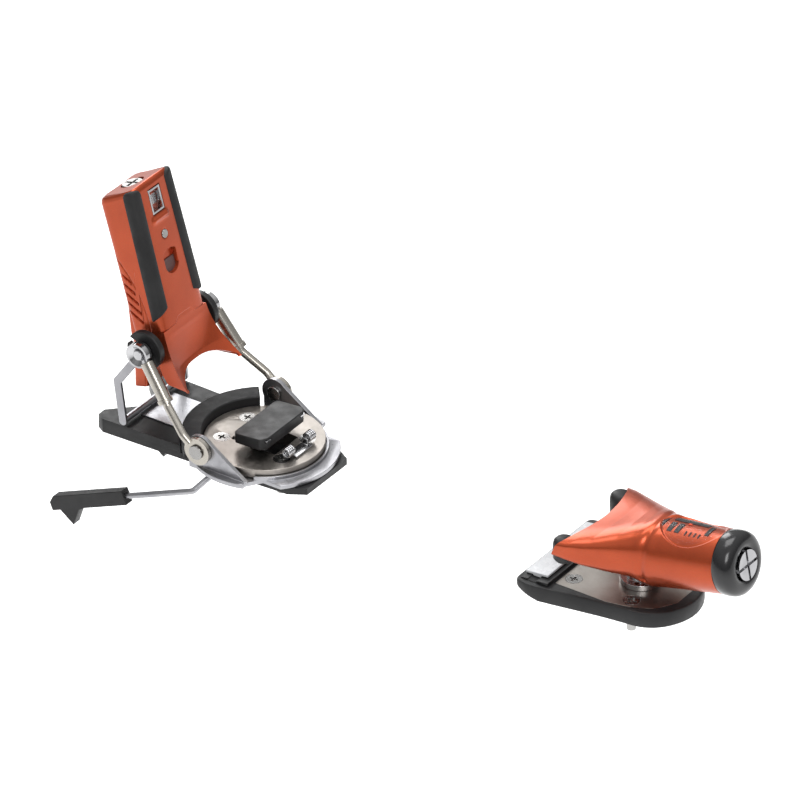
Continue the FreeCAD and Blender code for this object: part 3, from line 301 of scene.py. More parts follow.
def copper_paint():
    """Metallic copper-orange paint: fine flake, slight orange-peel, clear coat."""
    f = Finish("copper_orange_paint")
    f.set(Metallic=0.78, Coat_Weight=0.2, Coat_Roughness=0.12, Specular_IOR_Level=0.5)
    flake = f.cells(5200)
    shade = f.blend(f.remap(f.noise(60, 2), 0.25, 0.75, 0.3, 0.7), (0.32, 0.046, 0.013), (0.41, 0.064, 0.019))
    mix = f.tree.nodes.new("ShaderNodeMix")
    mix.data_type = "RGBA"
    mix.blend_type = "OVERLAY"
    mix.inputs["Factor"].default_value = 0.10
    f.link(shade, mix.inputs["A"])
    f.link(flake, mix.inputs["B"])
    f.link(mix.outputs["Result"], f.shader.inputs["Base Color"])
    f.link(f.remap(f.noise(240, 4), 0.27, 0.38), f.shader.inputs["Roughness"])
    f.bump(f.noise(1500, 2), 0.05, 0.0002)
    f.bump(f.noise(160, 2), 0.04, 0.0006)
    return f.material


def moulded(name, dark, light, rough=(0.42, 0.6), grain=2600, strength=0.22, coat=0.0):
    """Moulded plastic or rubber: fine spark-eroded grain, faint mottling, scuffed roughness."""
    f = Finish(name)
    f.set(Specular_IOR_Level=0.3, Coat_Weight=coat, Coat_Roughness=0.15)
    f.link(f.blend(f.remap(f.noise(45, 4), 0, 1, 0.35, 0.65), dark, light), f.shader.inputs["Base Color"])
    f.link(f.remap(f.noise(180, 5), *rough, 0.3, 0.7), f.shader.inputs["Roughness"])
    f.bump(f.noise(grain, 2), strength, 0.0002)
    return f.material


def metal(name, dark, light, rough=(0.2, 0.34), stretch=None, scale=420, strength=0.06):
    """Bare or plated metal: a brushed or rolled grain in its roughness and surface."""
    f = Finish(name)
    f.set(Metallic=1.0)
    f.link(f.blend(f.remap(f.noise(70, 4), 0, 1, 0.3, 0.7), dark, light), f.shader.inputs["Base Color"])
    grain = f.noise(scale, 5, stretch)
    f.link(f.remap(grain, *rough, 0.3, 0.7), f.shader.inputs["Roughness"])
    f.bump(grain, strength, 0.0002)
    f.bump(f.noise(2400, 2), strength / 2, 0.0001)
    return f.material


def clear_lens():
    """Clear moulded window with a faint ripple."""
    f = Finish("clear_window")
    f.set(Transmission_Weight=0.9, IOR=1.2, Alpha=0.22, Specular_IOR_Level=0.3)
    f.set(Base_Color=(0.5, 0.45, 0.45, 1))
    f.link(f.remap(f.noise(300, 3), 0.02, 0.07), f.shader.inputs["Roughness"])
    f.bump(f.noise(90, 1), 0.03, 0.0003)
    return f.material


PAINT = copper_paint()
BLACK = moulded("black_moulding", (0.007, 0.007, 0.0075), (0.013, 0.013, 0.0135), rough=(0.38, 0.55),
                strength=0.16)
RUBBER = moulded("black_grip_rubber", (0.007, 0.007, 0.0075), (0.012, 0.012, 0.0125), rough=(0.52, 0.7),
                 grain=1900, strength=0.3)
GLOSS = moulded("black_gloss_moulding", (0.008, 0.008, 0.009), (0.013, 0.013, 0.014), rough=(0.16, 0.26),
                strength=0.05, coat=0.3)
BROWN = moulded("brown_follower_plastic", (0.055, 0.028, 0.026), (0.09, 0.045, 0.042), rough=(0.4, 0.55))
WHITE = moulded("slick_pad", (0.42, 0.43, 0.445), (0.5, 0.51, 0.525), rough=(0.2, 0.32), grain=1200,
                strength=0.08, coat=0.2)
RED = moulded("signal_red", (0.62, 0.05, 0.01), (0.72, 0.07, 0.015), rough=(0.25, 0.35), strength=0.05,
              coat=0.4)
INK = moulded("dial_ink", (0.012, 0.012, 0.013), (0.022, 0.022, 0.024), rough=(0.4, 0.5), strength=0.03)
SATIN = metal("satin_steel_plate", (0.26, 0.26, 0.275), (0.36, 0.36, 0.375), rough=(0.26, 0.42),
              stretch=(1.0, 6.0, 1.0), scale=300, strength=0.05)
DISC = metal("dark_nickel_plate", (0.25, 0.23, 0.21), (0.33, 0.305, 0.28), rough=(0.3, 0.44), scale=500,
             strength=0.05)
ROD = metal("nickel_rod", (0.36, 0.34, 0.305), (0.41, 0.385, 0.345), rough=(0.24, 0.28), strength=0.0)
BRIGHT = metal("bright_steel", (0.34, 0.34, 0.35), (0.46, 0.46, 0.47), rough=(0.1, 0.2), strength=0.03)
ZINC = metal("zinc_screw", (0.25, 0.245, 0.24), (0.35, 0.345, 0.335), rough=(0.18, 0.3), strength=0.05)
SPRING = metal("spring_steel", (0.10, 0.10, 0.11), (0.18, 0.18, 0.19), rough=(0.3, 0.45), strength=0.05)
LENS = clear_lens()
FINISHES = {"copper_paint": PAINT, "black_plastic": BLACK, "black_rubber": RUBBER, "gloss_black": GLOSS,
            "light_steel": SATIN, "dark_nickel": DISC, "zinc_screw": ZINC, "bright_steel": BRIGHT,
            "satin_steel": SATIN, "nickel_rod": ROD, "clear_lens": LENS, "brown_plastic": BROWN,
            "spring_steel": SPRING, "white_pad": WHITE, "signal_red": RED}


# ---------------------------------------------------------------- CAD nodes that keep their shape

# Width of the eased edge, in millimetres, of each node that keeps its CAD shape.
EASED = {"turntable_bracket": 0.35, "crescent_pad": 0.7, "arm_pivot_rivets": 0.35, "brake_bracket": 0.25,
         "arm_knuckle_left": 0.3, "arm_knuckle_right": 0.3, "bail_collar_left": 0.6, "bail_collar_right": 0.6,
         "rear_bail": 0.45, "heel_slide_plate": 0.2, "afd_plate": 0.35, "afd_carrier": 0.2,
         "brake_pedal_support": 0.4, "heel_release_screw": 0.3, "toe_release_screw": 0.5,
         "toe_steel_plate": 0.2, "turntable_disc": 0.25, "brake_pedal_clips": 0.15,
         "heel_window_frame": 0.2, "heel_base_plate": 0.8, "brake_pedal": 1.3,
         "brake_claw_left": 0.8, "brake_claw_right": 0.8, "arm_rod_left": 0.08, "arm_rod_right": 0.08,
         "adjuster_sleeve_left": 0.25, "adjuster_sleeve_right": 0.25, "brake_wires": 0.08,
         "pivot_axle": 0.2, "heel_mounting_screws": 0.15, "toe_mounting_screws": 0.15,
         "heel_front_screw": 0.3, "toe_pivot_post": 0.3}
for node, width in EASED.items():
    finish_piece(softened(node, width), FINISHES[SLOT_OF[node]], BODY_OF[node], [node])

for node, item in frame["nodes"].items():
    item.data.materials.clear()
    item.data.materials.append(FINISHES[SLOT_OF[node]])


# ---------------------------------------------------------------- heel lever

def signed_power(value, power):
    """The size of a value raised to a power, with the value's own sign."""
    return np.sign(value) * np.abs(value) ** power


def bump_between(value, low, high, soft):
    """One inside the stretch from low to high and nothing outside, with soft ends."""
    return np.clip((value - low) / soft + 0.5, 0, 1) * np.clip((high - value) / soft + 0.5, 0, 1)


# Millimetres in the lever's own frame: up its length from the axle, and ahead of that line.
LEVER_HIGH = 93.8
LEVER_FRONT = 11.0
LEVER_BACK = -13.2
TOP_RISE = 3.0
TOP_TILT = 5.5
RELEASE_SCREW_BACK = 3.0
WELL_RADIUS = 7.0
WELL_DEPTH = 8.0
FRONT_SEAT_UP = 62.0
FRONT_SEAT_RADIUS = 3.1
SIDE_SLOTS = 5
WALL_SOFT = 0.35


def lever_half(up):
    """Half width of the lever housing at a height above its axle."""
    return np.interp(up, [-12, 0, 9, 30, 60, 97], [20.0, 20.6, 20.9, 20.5, 19.8, 18.8])


def lever_skin(turn, up, proud=0.0):
    """The lever's outer skin: a rounded box section at each height.

    Fore and across are a superellipse of the turn angle; the rear leans in towards the top."""
    front = LEVER_FRONT + proud
    back = np.interp(up, [-12, 20, 60, 97], [-12.0, LEVER_BACK, LEVER_BACK - 1, LEVER_BACK - 2.6])
    back = back - proud
    half = lever_half(up) + proud
    power = 2 / 7.5
    fore = (front + back) / 2 + (front - back) / 2 * signed_power(np.cos(turn), power)
    across = half * signed_power(np.sin(turn), power)
    crown = 0.7 * (1 - (across / half) ** 2) * (np.cos(turn) > 0)
    return fore + crown, across


def even_turns(count, low=-np.pi, high=np.pi, up=50.0):
    """Turn angles spaced evenly along the skin, which a superellipse's own angle isn't."""
    dense = np.linspace(low, high, 6001)
    fore, across = lever_skin(dense, np.full(dense.shape, up))
    run = np.concatenate([[0], np.cumsum(np.hypot(np.diff(fore), np.diff(across)))])
    return np.interp(np.linspace(0, run[-1], count), run, dense)


def seam_height(across):
    """Height of the zigzag seam between the housing and the heel cup."""
    return np.interp(np.abs(across), [0, 6.0, 9.0, 20, 22], [12.6, 12.4, 9.2, 8.6, 8.4])


def front_relief(across, up):
    """How far the lever's front face is pressed in.

    The deepest of three pockets: the indicator window, a rectangle; the follower's slot, with a
    circle's arc below and a parabola above; the front screw's round seat. A ledge under the window
    stands out instead, as a bell curve of the height."""
    window = 3.2 * bump_between(across, -5.6, 5.6, WALL_SOFT) * bump_between(up, 75.6, 91.4, WALL_SOFT)
    slot_foot = 40.5 + 6.5 - np.sqrt(np.clip(6.2 ** 2 - across ** 2, 0, None)) - 0.6
    slot_head = 52.5 - 0.055 * across ** 2
    slot = np.clip((up - slot_foot + 2.5) / 0.3, 0, 1) * np.clip((slot_head - up) / 0.3, 0, 1)
    slot = slot * bump_between(across, -5.7, 5.7, WALL_SOFT)
    seat = np.clip((FRONT_SEAT_RADIUS - np.hypot(across, up - FRONT_SEAT_UP)) / 0.3, 0, 1)
    ledge = 1.3 * np.exp(-((up - 72.6) / 1.7) ** 2) * bump_between(across, -7, 7, 3)
    return np.maximum(np.maximum(window, 3.0 * slot), 0.5 * seat) - ledge


def side_relief(fore, up):
    """How far the lever's sides are pressed in.

    The deepest of five slanted slots, each a wedge about a sloping line that grows longer down the
    side, and the rear cover's seam, a fine bell-shaped groove along a curve."""
    pressed = np.zeros_like(up)
    for index in range(SIDE_SLOTS):
        reach = 2.6 + 0.55 * index
        run = fore + 7.2 - 0.35 * index
        drop = up - (41 - 6.1 * index) + 0.87 * run
        slot = np.clip((1.15 - np.abs(drop) * (1.25 - 0.25 * run / reach)) / WALL_SOFT, 0, 1)
        pressed = np.maximum(pressed, 1.7 * (slot * bump_between(run, -reach, reach, 0.5)))
    seam_fore = 1.5 - 14 * np.clip((up - 9) / 46, 0, 1) ** 2.4
    groove = np.exp(-((fore - seam_fore) / 0.42) ** 2) * (up < 56)
    return np.maximum(pressed, 0.5 * groove)


def lever_top(fore, across, up):
    """Rings that close the lever's top inward from its last loop.

    A quarter circle first rounds the edge over; the rest shrinks onto the middle over a plane that
    slopes to the rear, sunk by the well of the release screw."""
    centre = (LEVER_FRONT + LEVER_BACK) / 2
    rings = []
    size = np.hypot(fore - centre, across)
    for step in np.linspace(0.12, 1, 9):
        inset = 2.2 * (1 - math.cos(step * math.pi / 2)) + 0.2
        rise = TOP_RISE * math.sin(step * math.pi / 2)
        scale = (size - inset) / size
        edge_fore = centre + (fore - centre) * scale
        edge_across = across * scale
        rings.append(on_lever(edge_fore, edge_across, up + rise)[None])
    for step in np.linspace(0.97, 0.03, 36):
        in_fore = edge_fore * step + centre * (1 - step)
        in_across = edge_across * step
        plane = np.interp(in_fore, [LEVER_BACK, LEVER_FRONT], [LEVER_HIGH - 2.4, LEVER_HIGH + TOP_RISE])
        from_screw = np.hypot(in_fore + RELEASE_SCREW_BACK, in_across)
        well = WELL_DEPTH * np.clip((WELL_RADIUS - from_screw) / 0.5, 0, 1)
        rings.append(on_lever(in_fore, in_across, plane - well)[None])
    return rings


def make_lever_shell():
    """The lever's skin carried up from its zigzag lower seam, pressed in by its pockets, slots and seam.

    The top tilts back with the share of the way to the rear, and closes as lever_top says."""
    columns, rows = 360, 190
    turn = even_turns(columns + 1)[:-1]
    share = np.linspace(0, 1, rows)
    foot_fore, foot_across = lever_skin(turn, np.full(columns, 12.0))
    low = np.where(foot_fore > 2, seam_height(foot_across), -10.0)
    low = np.where((foot_fore <= 2) & (foot_fore > -1), 8.0, low)
    up = low[None] + share[:, None] * (LEVER_HIGH - low[None])
    fore, across = lever_skin(np.broadcast_to(turn, up.shape), up)
    front = (fore > 8) & (np.abs(across) < 15)
    side = (np.abs(across) > lever_half(up) - 1.2) & (fore < 8)
    pressed_front = front_relief(across, up)
    pressed_side = side_relief(fore, up)
    fore = fore - np.where(front, pressed_front, 0)
    across = across - np.sign(across) * np.where(side, pressed_side, 0)
    to_rear = (LEVER_FRONT - fore) / (LEVER_FRONT - LEVER_BACK)
    lifted = up - TOP_TILT * to_rear * np.clip((up - 60) / (LEVER_HIGH - 60), 0, 1)
    rings = [on_lever(fore, across, lifted), *lever_top(fore[-1], across[-1], lifted[-1])]
    shell = surface("lever_shell", np.concatenate(rings), angle=50)
    finish_piece(shell, PAINT, "heel_head", ["heel_housing"])


def make_lever_tail():
    """The rear cover's lower end, a ribbed box that tapers and kicks back behind the axle.

    Each level is a superellipse whose middle, depth and width follow the way down."""
    rows, columns = 60, 160
    share = np.linspace(0, 1, rows)[:, None]
    turn = np.linspace(-np.pi, np.pi, columns, endpoint=False)[None]
    up = 30 - 62 * share
    middle_fore = np.interp(share, [0, 0.45, 1], [-7.5, -11.5, -23.5])
    deep = np.interp(share, [0, 0.5, 1], [5.2, 6.4, 5.6])
    half = np.interp(share, [0, 0.4, 0.55, 1], [19.5, 19.0, 15.5, 13.0])
    fore = middle_fore + deep * signed_power(np.cos(turn), 2 / 6)
    across = half * signed_power(np.sin(turn), 2 / 6)
    rib = 0.9 * np.exp(-((np.abs(across) - 5.5) / 0.8) ** 2) * (np.cos(turn) < 0) * (share > 0.5)
    points = on_lever(fore + rib, across, up)
    tail = surface("spring_cover_tail", points, angle=45)
    ease(tail, 0.6, 2, 50)
    finish_piece(tail, PAINT, "heel_head", ["spring_cover"])


def cup_ridge(up):
    """Fore and half width of the ridge that runs down to each prong of the heel cup."""
    drop = np.clip((9 - up) / 36.5, 0, 1)
    fore = 11.0 + 12.6 * drop ** 2.1
    half = 20.8 + 6.2 * drop ** 1.5 - 1.2 * np.clip((-23 - up) / 5, 0, 1) ** 2
    return fore, half


SMOOTH_REACH = 4


def make_heel_cup():
    """The flared jaw under the lever.

    A front saddle, a power curve across between two ridges, has a fin back from each ridge. The
    inner wall is that face moved along its own smoothed normals, and the two join as one loop."""
    rows, across_count, side_count = 110, 121, 26
    share = np.linspace(0, 1, rows)[:, None]
    q = np.linspace(-1, 1, across_count)[None]
    top = seam_height(21.4 * q) - 0.25
    low = -17.4 - 9.8 * np.abs(q) ** 3.2
    up = top + share * (low - top)
    ridge_fore, half = cup_ridge(up)
    dip = 5.6 * np.clip((5 - up) / 20, 0, 1) ** 1.3
    fore = ridge_fore - dip * (1 - np.abs(q) ** 2.2) + 0.5 * (1 - q ** 2) * np.clip((up - 2) / 8, 0, 1)
    across = half * q
    s = np.linspace(0, 1, side_count + 1)[None, 1:]
    side_low = -27.2 + 4.0 * s
    side_up = (seam_height(21.4) - 0.25) + share * (side_low - seam_height(21.4) + 0.25)
    side_ridge, side_half = cup_ridge(side_up)
    side_back = np.interp(side_up, [-27, -24, -18, -8, 0, 9], [13, 8.5, 4.6, 1.8, 1.6, 1.5])
    side_fore = side_ridge + s * (side_back - side_ridge)
    side_across = side_half - 0.35 * np.sin(np.pi * s) - 1.3 * s * np.interp(side_up, [-20, 0], [1.0, 0.2])
    fore = np.concatenate([side_fore[:, ::-1], fore, side_fore], axis=1)
    across = np.concatenate([-side_across[:, ::-1], across, side_across], axis=1)
    up = np.concatenate([side_up[:, ::-1], up, side_up], axis=1)
    outer = np.stack([fore, across, up], axis=-1)
    along = np.gradient(outer, axis=1)
    down = np.gradient(outer, axis=0)
    normal = np.cross(down, along)
    normal /= np.linalg.norm(normal, axis=2, keepdims=True)
    padded = np.pad(normal, ((0, 0), (SMOOTH_REACH, SMOOTH_REACH), (0, 0)), mode="edge")
    normal = sum(padded[:, step:step + normal.shape[1]] for step in range(2 * SMOOTH_REACH + 1))
    normal /= np.linalg.norm(normal, axis=2, keepdims=True)
    inward = normal if normal[rows // 2, outer.shape[1] // 2, 0] < 0 else -normal
    thick = np.interp(share, [0, 0.85, 1], [2.6, 2.4, 1.8])[..., None]
    inner = outer + inward * thick
    loop = np.concatenate([outer, inner[:, ::-1]], axis=1)
    partner = np.arange(loop.shape[1])[::-1]
    cup = folded("heel_cup_jaw", on_lever(loop[..., 0], loop[..., 1], loop[..., 2]), partner, angle=45)
    finish_piece(cup, PAINT, "heel_head", ["heel_cup"])


STRIP_MIDDLE = 57.0
STRIP_HALF = 39.2
STRIP_PROUD = 1.5
STRIP_SUNK = 0.8


def make_grip_strips():
    """A domed rubber strip round each front corner of the lever.

    Its face is the skin pushed out by a dome of high powers across and along, and the skin pushed
    in closes it behind. Its ends round off, and the lower one is cut on a slant."""
    rows, columns = 150, 60
    v = np.linspace(-1, 1, rows)[:, None]
    u = np.linspace(-1, 1, columns)[None]
    narrow = np.clip(1 - ((v - 0.9) / 0.1).clip(0, None) ** 2, 0.0, 1) ** 0.5
    up = STRIP_MIDDLE + STRIP_HALF * v - 3.2 * u * ((-v - 0.8).clip(0, None) * 5)
    dome = np.clip(1 - np.abs(u) ** 5, 0, 1) ** 0.5 * np.clip(1 - np.abs(v) ** 60, 0, 1) ** 0.5
    wrap = np.interp(u * narrow, np.linspace(-1, 1, 401), even_turns(401, 0.16, 1.515))
    for name, sign in (("left", 1), ("right", -1)):
        near, far, sunk = (np.stack(lever_skin(sign * wrap, up, proud), axis=-1)
                           for proud in (0.0, STRIP_PROUD, -STRIP_SUNK))
        face = near + dome[..., None] * (far - near)
        loop = np.concatenate([face, sunk[:, ::-1]], axis=1)
        height = np.concatenate([up, up[:, ::-1]], axis=1)
        partner = np.arange(loop.shape[1])[::-1]
        points = on_lever(loop[..., 0], loop[..., 1], height)
        strip = folded(f"grip_strip_{name}_rubber", points, partner, 50)
        finish_piece(strip, RUBBER, "heel_head", [f"grip_strip_{name}"])


make_lever_shell()
make_lever_tail()
make_heel_cup()
make_grip_strips()


# ---------------------------------------------------------------- toe head

# Millimetres: the head along the toe unit from its frame, the window and cap along the nose.
HEAD_REAR = -47.0
HEAD_TIP = 49.0
WINDOW_MIDDLE = 25.0
WINDOW_LONG = 20.5
WINDOW_WIDE = 15.0
WINDOW_SINK = 1.3
CAP_START = 60.0


def head_half(along):
    """Half width of the toe head along its length: wings at the rear, then the round nose."""
    return np.interp(along, [-47, -40, -30, -20, -10, -3, 3, 9, 25, 49],
                     [37, 36, 33, 29.3, 25.6, 23, 21.4, 20.8, 19.8, 18.2])


def make_toe_head():
    """Wings that sweep into the round nose as one loft.

    Each section is a superellipse; its half width, its top and bottom and its power follow the way
    along, and a smooth step hands the wings' heights over to the nose's. The rear is scooped in a
    parabola across, a bell-shaped crease rings the neck, and an ellipse on top is sunk for the window."""
    rows, columns = 260, 240
    share = np.linspace(0, 1, rows)[:, None]
    turn = np.linspace(-np.pi, np.pi, columns, endpoint=False)[None]
    along = np.repeat(HEAD_REAR + share * (HEAD_TIP - HEAD_REAR), columns, axis=1)
    half = head_half(along)
    wing_top = np.interp(along, [-47, -30, -15, -5, 5, 20], [45.5, 48, 51.5, 54.5, 57, 60])
    wing_low = np.interp(along, [-47, -40, -32, -16, 0, 8], [31.0, 29.5, 27.0, 23, 19.5, 17.5])
    start = (NOSE_START - TOE) / MM
    slope = NOSE_AXIS[2] / NOSE_AXIS[0]
    nose_mid = start[2] + slope * (along - start[0])
    to_nose = np.clip((along + 7) / 18, 0, 1)
    to_nose = to_nose ** 2 * (3 - 2 * to_nose)
    high = wing_top * (1 - to_nose) + (nose_mid + half) * to_nose
    low = wing_low * (1 - to_nose) + (nose_mid - half) * to_nose
    power = 2 / np.interp(along, [-47, -25, -5, 10], [6, 4.2, 2.8, 2.1])
    across = half * signed_power(np.cos(turn), power)
    side = signed_power(np.sin(turn), power)
    middle_up = (high + low) / 2
    up = middle_up + (high - low) / 2 * side
    drop = 3 * (1 - share) ** 1.2 * (1 - to_nose) * np.clip(side, 0, 1)
    up = up - drop * np.abs(across / half) ** 4
    crease = 0.7 * np.exp(-((along - 3.0) / 2.2) ** 2) * (side > -0.6)
    scale = 1 - crease / half
    across = across * scale
    up = middle_up + (up - middle_up) * scale
    bay = 9.0 * (1 - (across / half) ** 2) * (1 - share) ** 3
    lean = np.interp(up, [33, 44], [0, 4.5]) * (1 - share) ** 3
    fore = along + bay + lean
    fore = fore - np.clip((along - 24) / 25, 0, 1) * slope * (up - nose_mid)
    window = ((fore - WINDOW_MIDDLE) / WINDOW_LONG) ** 2 + (across / WINDOW_WIDE) ** 2
    sink = WINDOW_SINK * np.clip((1.0 - window) / 0.12, 0, 1)
    up = up - np.where(side > 0.3, sink, 0)
    partner = (columns - np.arange(columns)) % columns
    head = folded("toe_head_shell", on_toe(fore, across, up), partner, angle=40)
    finish_piece(head, PAINT, "toe_head", ["toe_housing"])


def make_end_cap():
    """The end cap: a domed collar turned about the nose, its rim rounded, with the release screw's well."""
    rim = [(0.0, 17.8), (0.0, 18.4), (1.2, 19.0), (4.5, 19.1), (7.2, 18.9), (9.2, 18.1), (10.6, 16.7),
           (11.6, 14.6), (11.9, 12.6), (11.7, 10.8), (11.1, 9.9), (10.0, 9.5), (2.0, 9.4), (2.0, 4.2)]
    cap = lathe("toe_end_cap_collar", NOSE_START + NOSE_AXIS * MM * CAP_START, NOSE_AXIS, rim)
    finish_piece(cap, GLOSS, "toe_head", ["toe_end_cap"])


# Name, start and end along the nose, right and left edge across it.
SCALE_MARKS = [("rear_bar", 17.5, 21, -6, 6), ("long_bar", 24, 47, 3.0, 8.5),
               ("cross_bar", 25, 28, -7.5, 0.5), ("near_bar", 30, 33, -7.5, 0.5),
               ("far_bar", 49, 51.5, -5, 4), ("pointer", 34.5, 36.5, 0.9, 2.7),
               ("tick_one", 37, 37.8, -8, -5), ("tick_two", 40, 40.8, -8, -5),
               ("tick_three", 43, 43.8, -8, -5), ("tick_four", 46, 46.8, -8, -5)]
MARK_STEPS = 12


def nose_radius(along):
    """Radius of the nose's round skin along its axis."""
    return np.interp(along, [0, 60], [21.4, 18.3])


def make_scale_marks():
    """Thin printed marks under the window: each a patch of a cylinder with a top, a base and an edge.

    The edge of the patch is walked as a loop, low and then high, and the loops halfway in close it."""
    for name, start, end, right, left in SCALE_MARKS:
        run = np.linspace(start, end, MARK_STEPS)[:, None]
        wide = np.linspace(right, left, MARK_STEPS)[None]
        bed = nose_radius(run) - 0.75
        faces = []
        for lift in (-0.3, 0.12):
            high = np.sqrt(np.clip((bed + lift) ** 2 - wide ** 2, 0, None))
            faces.append(np.stack(np.broadcast_arrays(run, wide, high), axis=-1))
        loops = [np.concatenate([face[:, 0], face[-1, 1:], face[-2::-1, -1], face[0, -2:0:-1]])
                 for face in faces]
        inner = [loop * 0.5 + face[5:7, 5:7].mean(axis=(0, 1)) * 0.5 for loop, face in zip(loops, faces)]
        grid = np.stack([inner[0], *loops, inner[1]])
        mark = surface(f"scale_mark_{name}", on_nose(grid[..., 0], grid[..., 1], grid[..., 2]), angle=30)
        paint, slot = (RED, "signal_red") if name == "pointer" else (INK, "gloss_black")
        finish_piece(mark, paint, "toe_head")


def make_window_lens():
    """Clear oval dome over the scale: the nose's radius plus an elliptic rise, with a short skirt."""
    out = np.linspace(0.02, 1, 18)
    turn = np.linspace(0, 2 * np.pi, 96, endpoint=False)[None]
    ring = np.concatenate([out, [1.0, 0.98]])[:, None]
    rise = np.concatenate([0.9 * np.sqrt(1 - out ** 2), [-0.5, -0.5]])[:, None]
    along = WINDOW_MIDDLE + 10.4 + (WINDOW_LONG - 0.5) * ring * np.cos(turn)
    across = (WINDOW_WIDE - 0.4) * ring * np.sin(turn)
    up = np.sqrt(np.clip(nose_radius(along) ** 2 - across ** 2, 0, None)) - 1.0 + rise
    lens = surface("toe_window_dome", on_nose(along, across, up), angle=50)
    finish_piece(lens, LENS, "toe_head", ["toe_window_lens"])


def make_lugs():
    """Black lugs nested behind the wing tips: squat posts with domed ends, turned about the upright."""
    profile = [(-4.6, 0.4), (-4.4, 3.0), (-3.6, 5.0), (-2.0, 6.2), (2, 6.45), (7, 6.45), (9, 6.0),
               (10.3, 4.8), (10.9, 2.6), (11.0, 0.4)]
    for name in ("toe_lug_left", "toe_lug_right"):
        lug = lathe(f"{name}_post", middle(name), (0, 0, 1), profile)
        finish_piece(lug, BLACK, "toe_head", [name])


make_toe_head()
make_end_cap()
make_scale_marks()
make_window_lens()
make_lugs()


# ---------------------------------------------------------------- toe base

def even_loop(corners, count, soften):
    """A closed outline resampled evenly, its corners rounded by a running average."""
    corners = np.array(corners + corners[:1], dtype=float)
    run = np.concatenate([[0], np.cumsum(np.linalg.norm(np.diff(corners, axis=0), axis=1))])
    along = np.linspace(0, run[-1], count, endpoint=False)
    loop = np.stack([np.interp(along, run, corners[:, axis]) for axis in (0, 1)], axis=1)
    weight = np.hanning(soften + 2)[1:-1]
    weight /= weight.sum()
    wide = np.concatenate([loop[-soften:], loop, loop[:soften]])
    even = [np.convolve(wide[:, axis], weight, mode="same")[soften:-soften] for axis in (0, 1)]
    return np.stack(even, axis=1)


def mirrored(half):
    """A half outline and its mirror image, as one closed run."""
    return half + [(fore, -across) for fore, across in reversed(half)]


def starting_near(loop, place):
    """A closed outline turned so that it starts at the point nearest to a place."""
    return np.roll(loop, -np.argmin(np.linalg.norm(loop - place, axis=1)), axis=0)


BASE_POINTS = 360
BASE_MIDDLE = np.array([-22.0, 0])
BASE_UNDERSIDE = ((4.0, 0.0), (1.0, 0.0), (0.3, 0.3), (0, 1.0))
BASE_RIM = ((0, 9.0), (0.3, 9.7), (1.0, 10.0), (1.6, 10.0))
BED_LEVELS = (10.0, 8.35)


def make_toe_base():
    """Black toe base: one rounded outline carried from the underside up the side and over the rim.

    Each step is an inset towards the middle and a height. The last loops go down into the steel
    plate's bed, and the underside rises in a straight ramp towards the rear."""
    half = [(-70.3, 38), (-61.5, 40), (-45, 37.3), (-29, 34.4), (-14, 31.8), (0, 30), (8, 29), (15, 25.5),
            (21, 19.5), (25.5, 11), (27.3, 3)]
    bed_half = [(-48.5, 29.9), (-14, 29.9), (4, 26), (13, 20), (20, 8)]
    outer = starting_near(even_loop(mirrored(half), BASE_POINTS, 13), [-58.0, 39.5])
    bed = starting_near(even_loop(mirrored(bed_half), BASE_POINTS, 3), [-48.5, 29.9])
    inward = (BASE_MIDDLE - outer) / np.linalg.norm(outer - BASE_MIDDLE, axis=1)[:, None]
    rows = []
    for amount, up in BASE_UNDERSIDE:
        loop = outer + inward * amount
        rows.append(np.column_stack([loop, up + 5.6 * np.clip((-54.5 - loop[:, 0]) / 16, 0, 1)]))
    for amount, up in BASE_RIM:
        rows.append(np.column_stack([outer + inward * amount, np.full(BASE_POINTS, up)]))
    for up in BED_LEVELS:
        rows.append(np.column_stack([bed, np.full(BASE_POINTS, up)]))
    grid = np.stack(rows)
    base = surface("toe_base_moulding", on_toe(grid[..., 0], grid[..., 1], grid[..., 2]), angle=40)
    finish_piece(base, BLACK, "root", ["toe_base_plate"])


make_toe_base()


# ---------------------------------------------------------------- floor, light and camera

FLOOR_DROP = 0.25
FLOOR_HALF = 40


def make_floor():
    """A plain pale floor under the lowest point of the object."""
    low = CAD_BOX[0][2] - FLOOR_DROP
    corners = [(-FLOOR_HALF, -FLOOR_HALF, low), (FLOOR_HALF, -FLOOR_HALF, low),
               (FLOOR_HALF, FLOOR_HALF, low), (-FLOOR_HALF, FLOOR_HALF, low)]
    floor = new_object("studio_floor", corners, [(0, 1, 2, 3)])
    f = Finish("pale_floor")
    f.link(f.blend(f.noise(3, 2), (0.93, 0.93, 0.93), (0.95, 0.95, 0.95)), f.shader.inputs["Base Color"])
    f.set(Roughness=0.9, Specular_IOR_Level=0.1, Emission_Color=(1, 1, 1, 1), Emission_Strength=0.34)
    floor.data.materials.append(f.material)


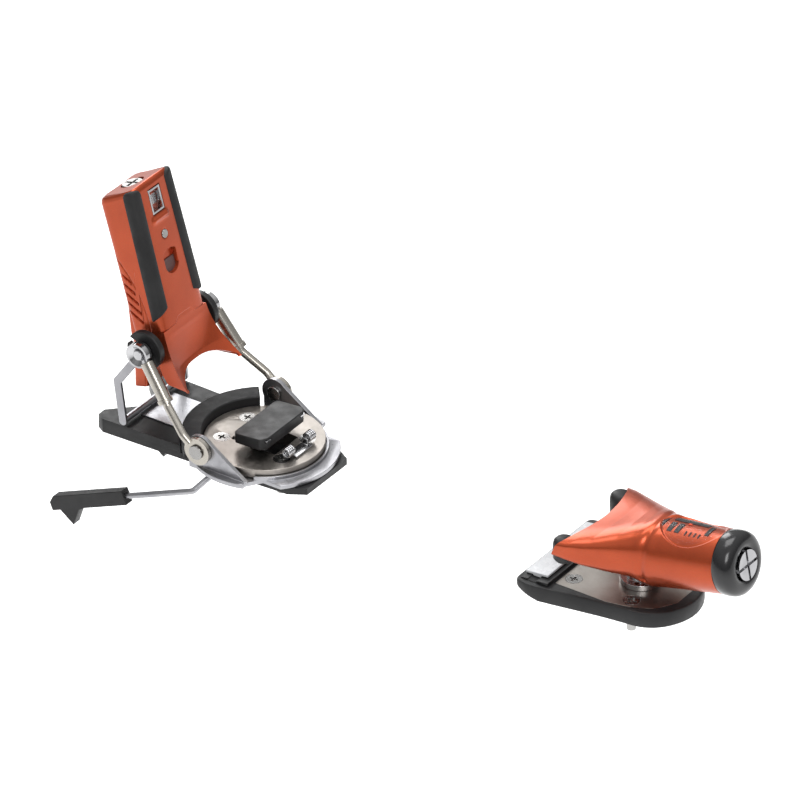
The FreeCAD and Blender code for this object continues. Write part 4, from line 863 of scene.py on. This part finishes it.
def area_light(name, place, target, size, power):
    """A rectangular lamp at a place, turned to a target; its size in metres, its power in watts."""
    light = bpy.data.lights.new(name, "AREA")
    light.shape = "RECTANGLE"
    light.size = size[0]
    light.size_y = size[1]
    light.energy = power
    item = bpy.data.objects.new(name, light)
    item.location = place
    item.rotation_euler = (Vector(target) - Vector(place)).to_track_quat("-Z", "Y").to_euler()
    bpy.context.scene.collection.objects.link(item)


def make_lights():
    """Soft studio light: a sky that brightens with height, a broad overhead, a key and an edge light."""
    world = bpy.data.worlds.new("studio")
    world.use_nodes = True
    tree = world.node_tree
    spot = tree.nodes.new("ShaderNodeTexCoord")
    split = tree.nodes.new("ShaderNodeSeparateXYZ")
    rise = tree.nodes.new("ShaderNodeMapRange")
    for name, value in (("From Min", 0.05), ("From Max", 0.7), ("To Min", 0.18), ("To Max", 0.88)):
        rise.inputs[name].default_value = value
    tree.links.new(spot.outputs["Generated"], split.inputs["Vector"])
    tree.links.new(split.outputs["Z"], rise.inputs["Value"])
    tree.links.new(rise.outputs["Result"], tree.nodes["Background"].inputs["Color"])
    tree.nodes["Background"].inputs["Strength"].default_value = 1.0
    bpy.context.scene.world = world
    bpy.context.scene.view_settings.view_transform = "Standard"
    target = (0.1, 0, 0.05)
    area_light("overhead", (0.0, 0.2, 1.5), target, (1.2, 0.8), 14)
    area_light("key", (1.1, -0.9, 1.1), target, (0.7, 0.7), 12)
    area_light("edge", (-0.9, 0.9, 0.8), target, (0.5, 0.9), 8)


# Degrees, metres from the point aimed at, and millimetres of lens and sensor.
VIEW_TURN = 34.5
VIEW_RISE = 31.8
VIEW_DISTANCE = 6.0
LENS_LENGTH = 472.5
SENSOR = 36.0
AIM = (0.0859, 0.013, 0.0621)


def make_camera():
    """The camera stands to the right of and above the binding, far away with a long lens."""
    turn = math.radians(VIEW_TURN)
    rise = math.radians(VIEW_RISE)
    back = Vector((math.sin(turn) * math.cos(rise), -math.cos(turn) * math.cos(rise), math.sin(rise)))
    data = bpy.data.cameras.new("camera")
    data.sensor_width = SENSOR
    data.lens = LENS_LENGTH
    data.clip_end = 200
    camera = bpy.data.objects.new("camera", data)
    camera.location = Vector(AIM) + back * VIEW_DISTANCE
    camera.rotation_euler = back.to_track_quat("Z", "Y").to_euler()
    bpy.context.scene.collection.objects.link(camera)
    bpy.context.scene.camera = camera


make_floor()
make_lights()
make_camera()
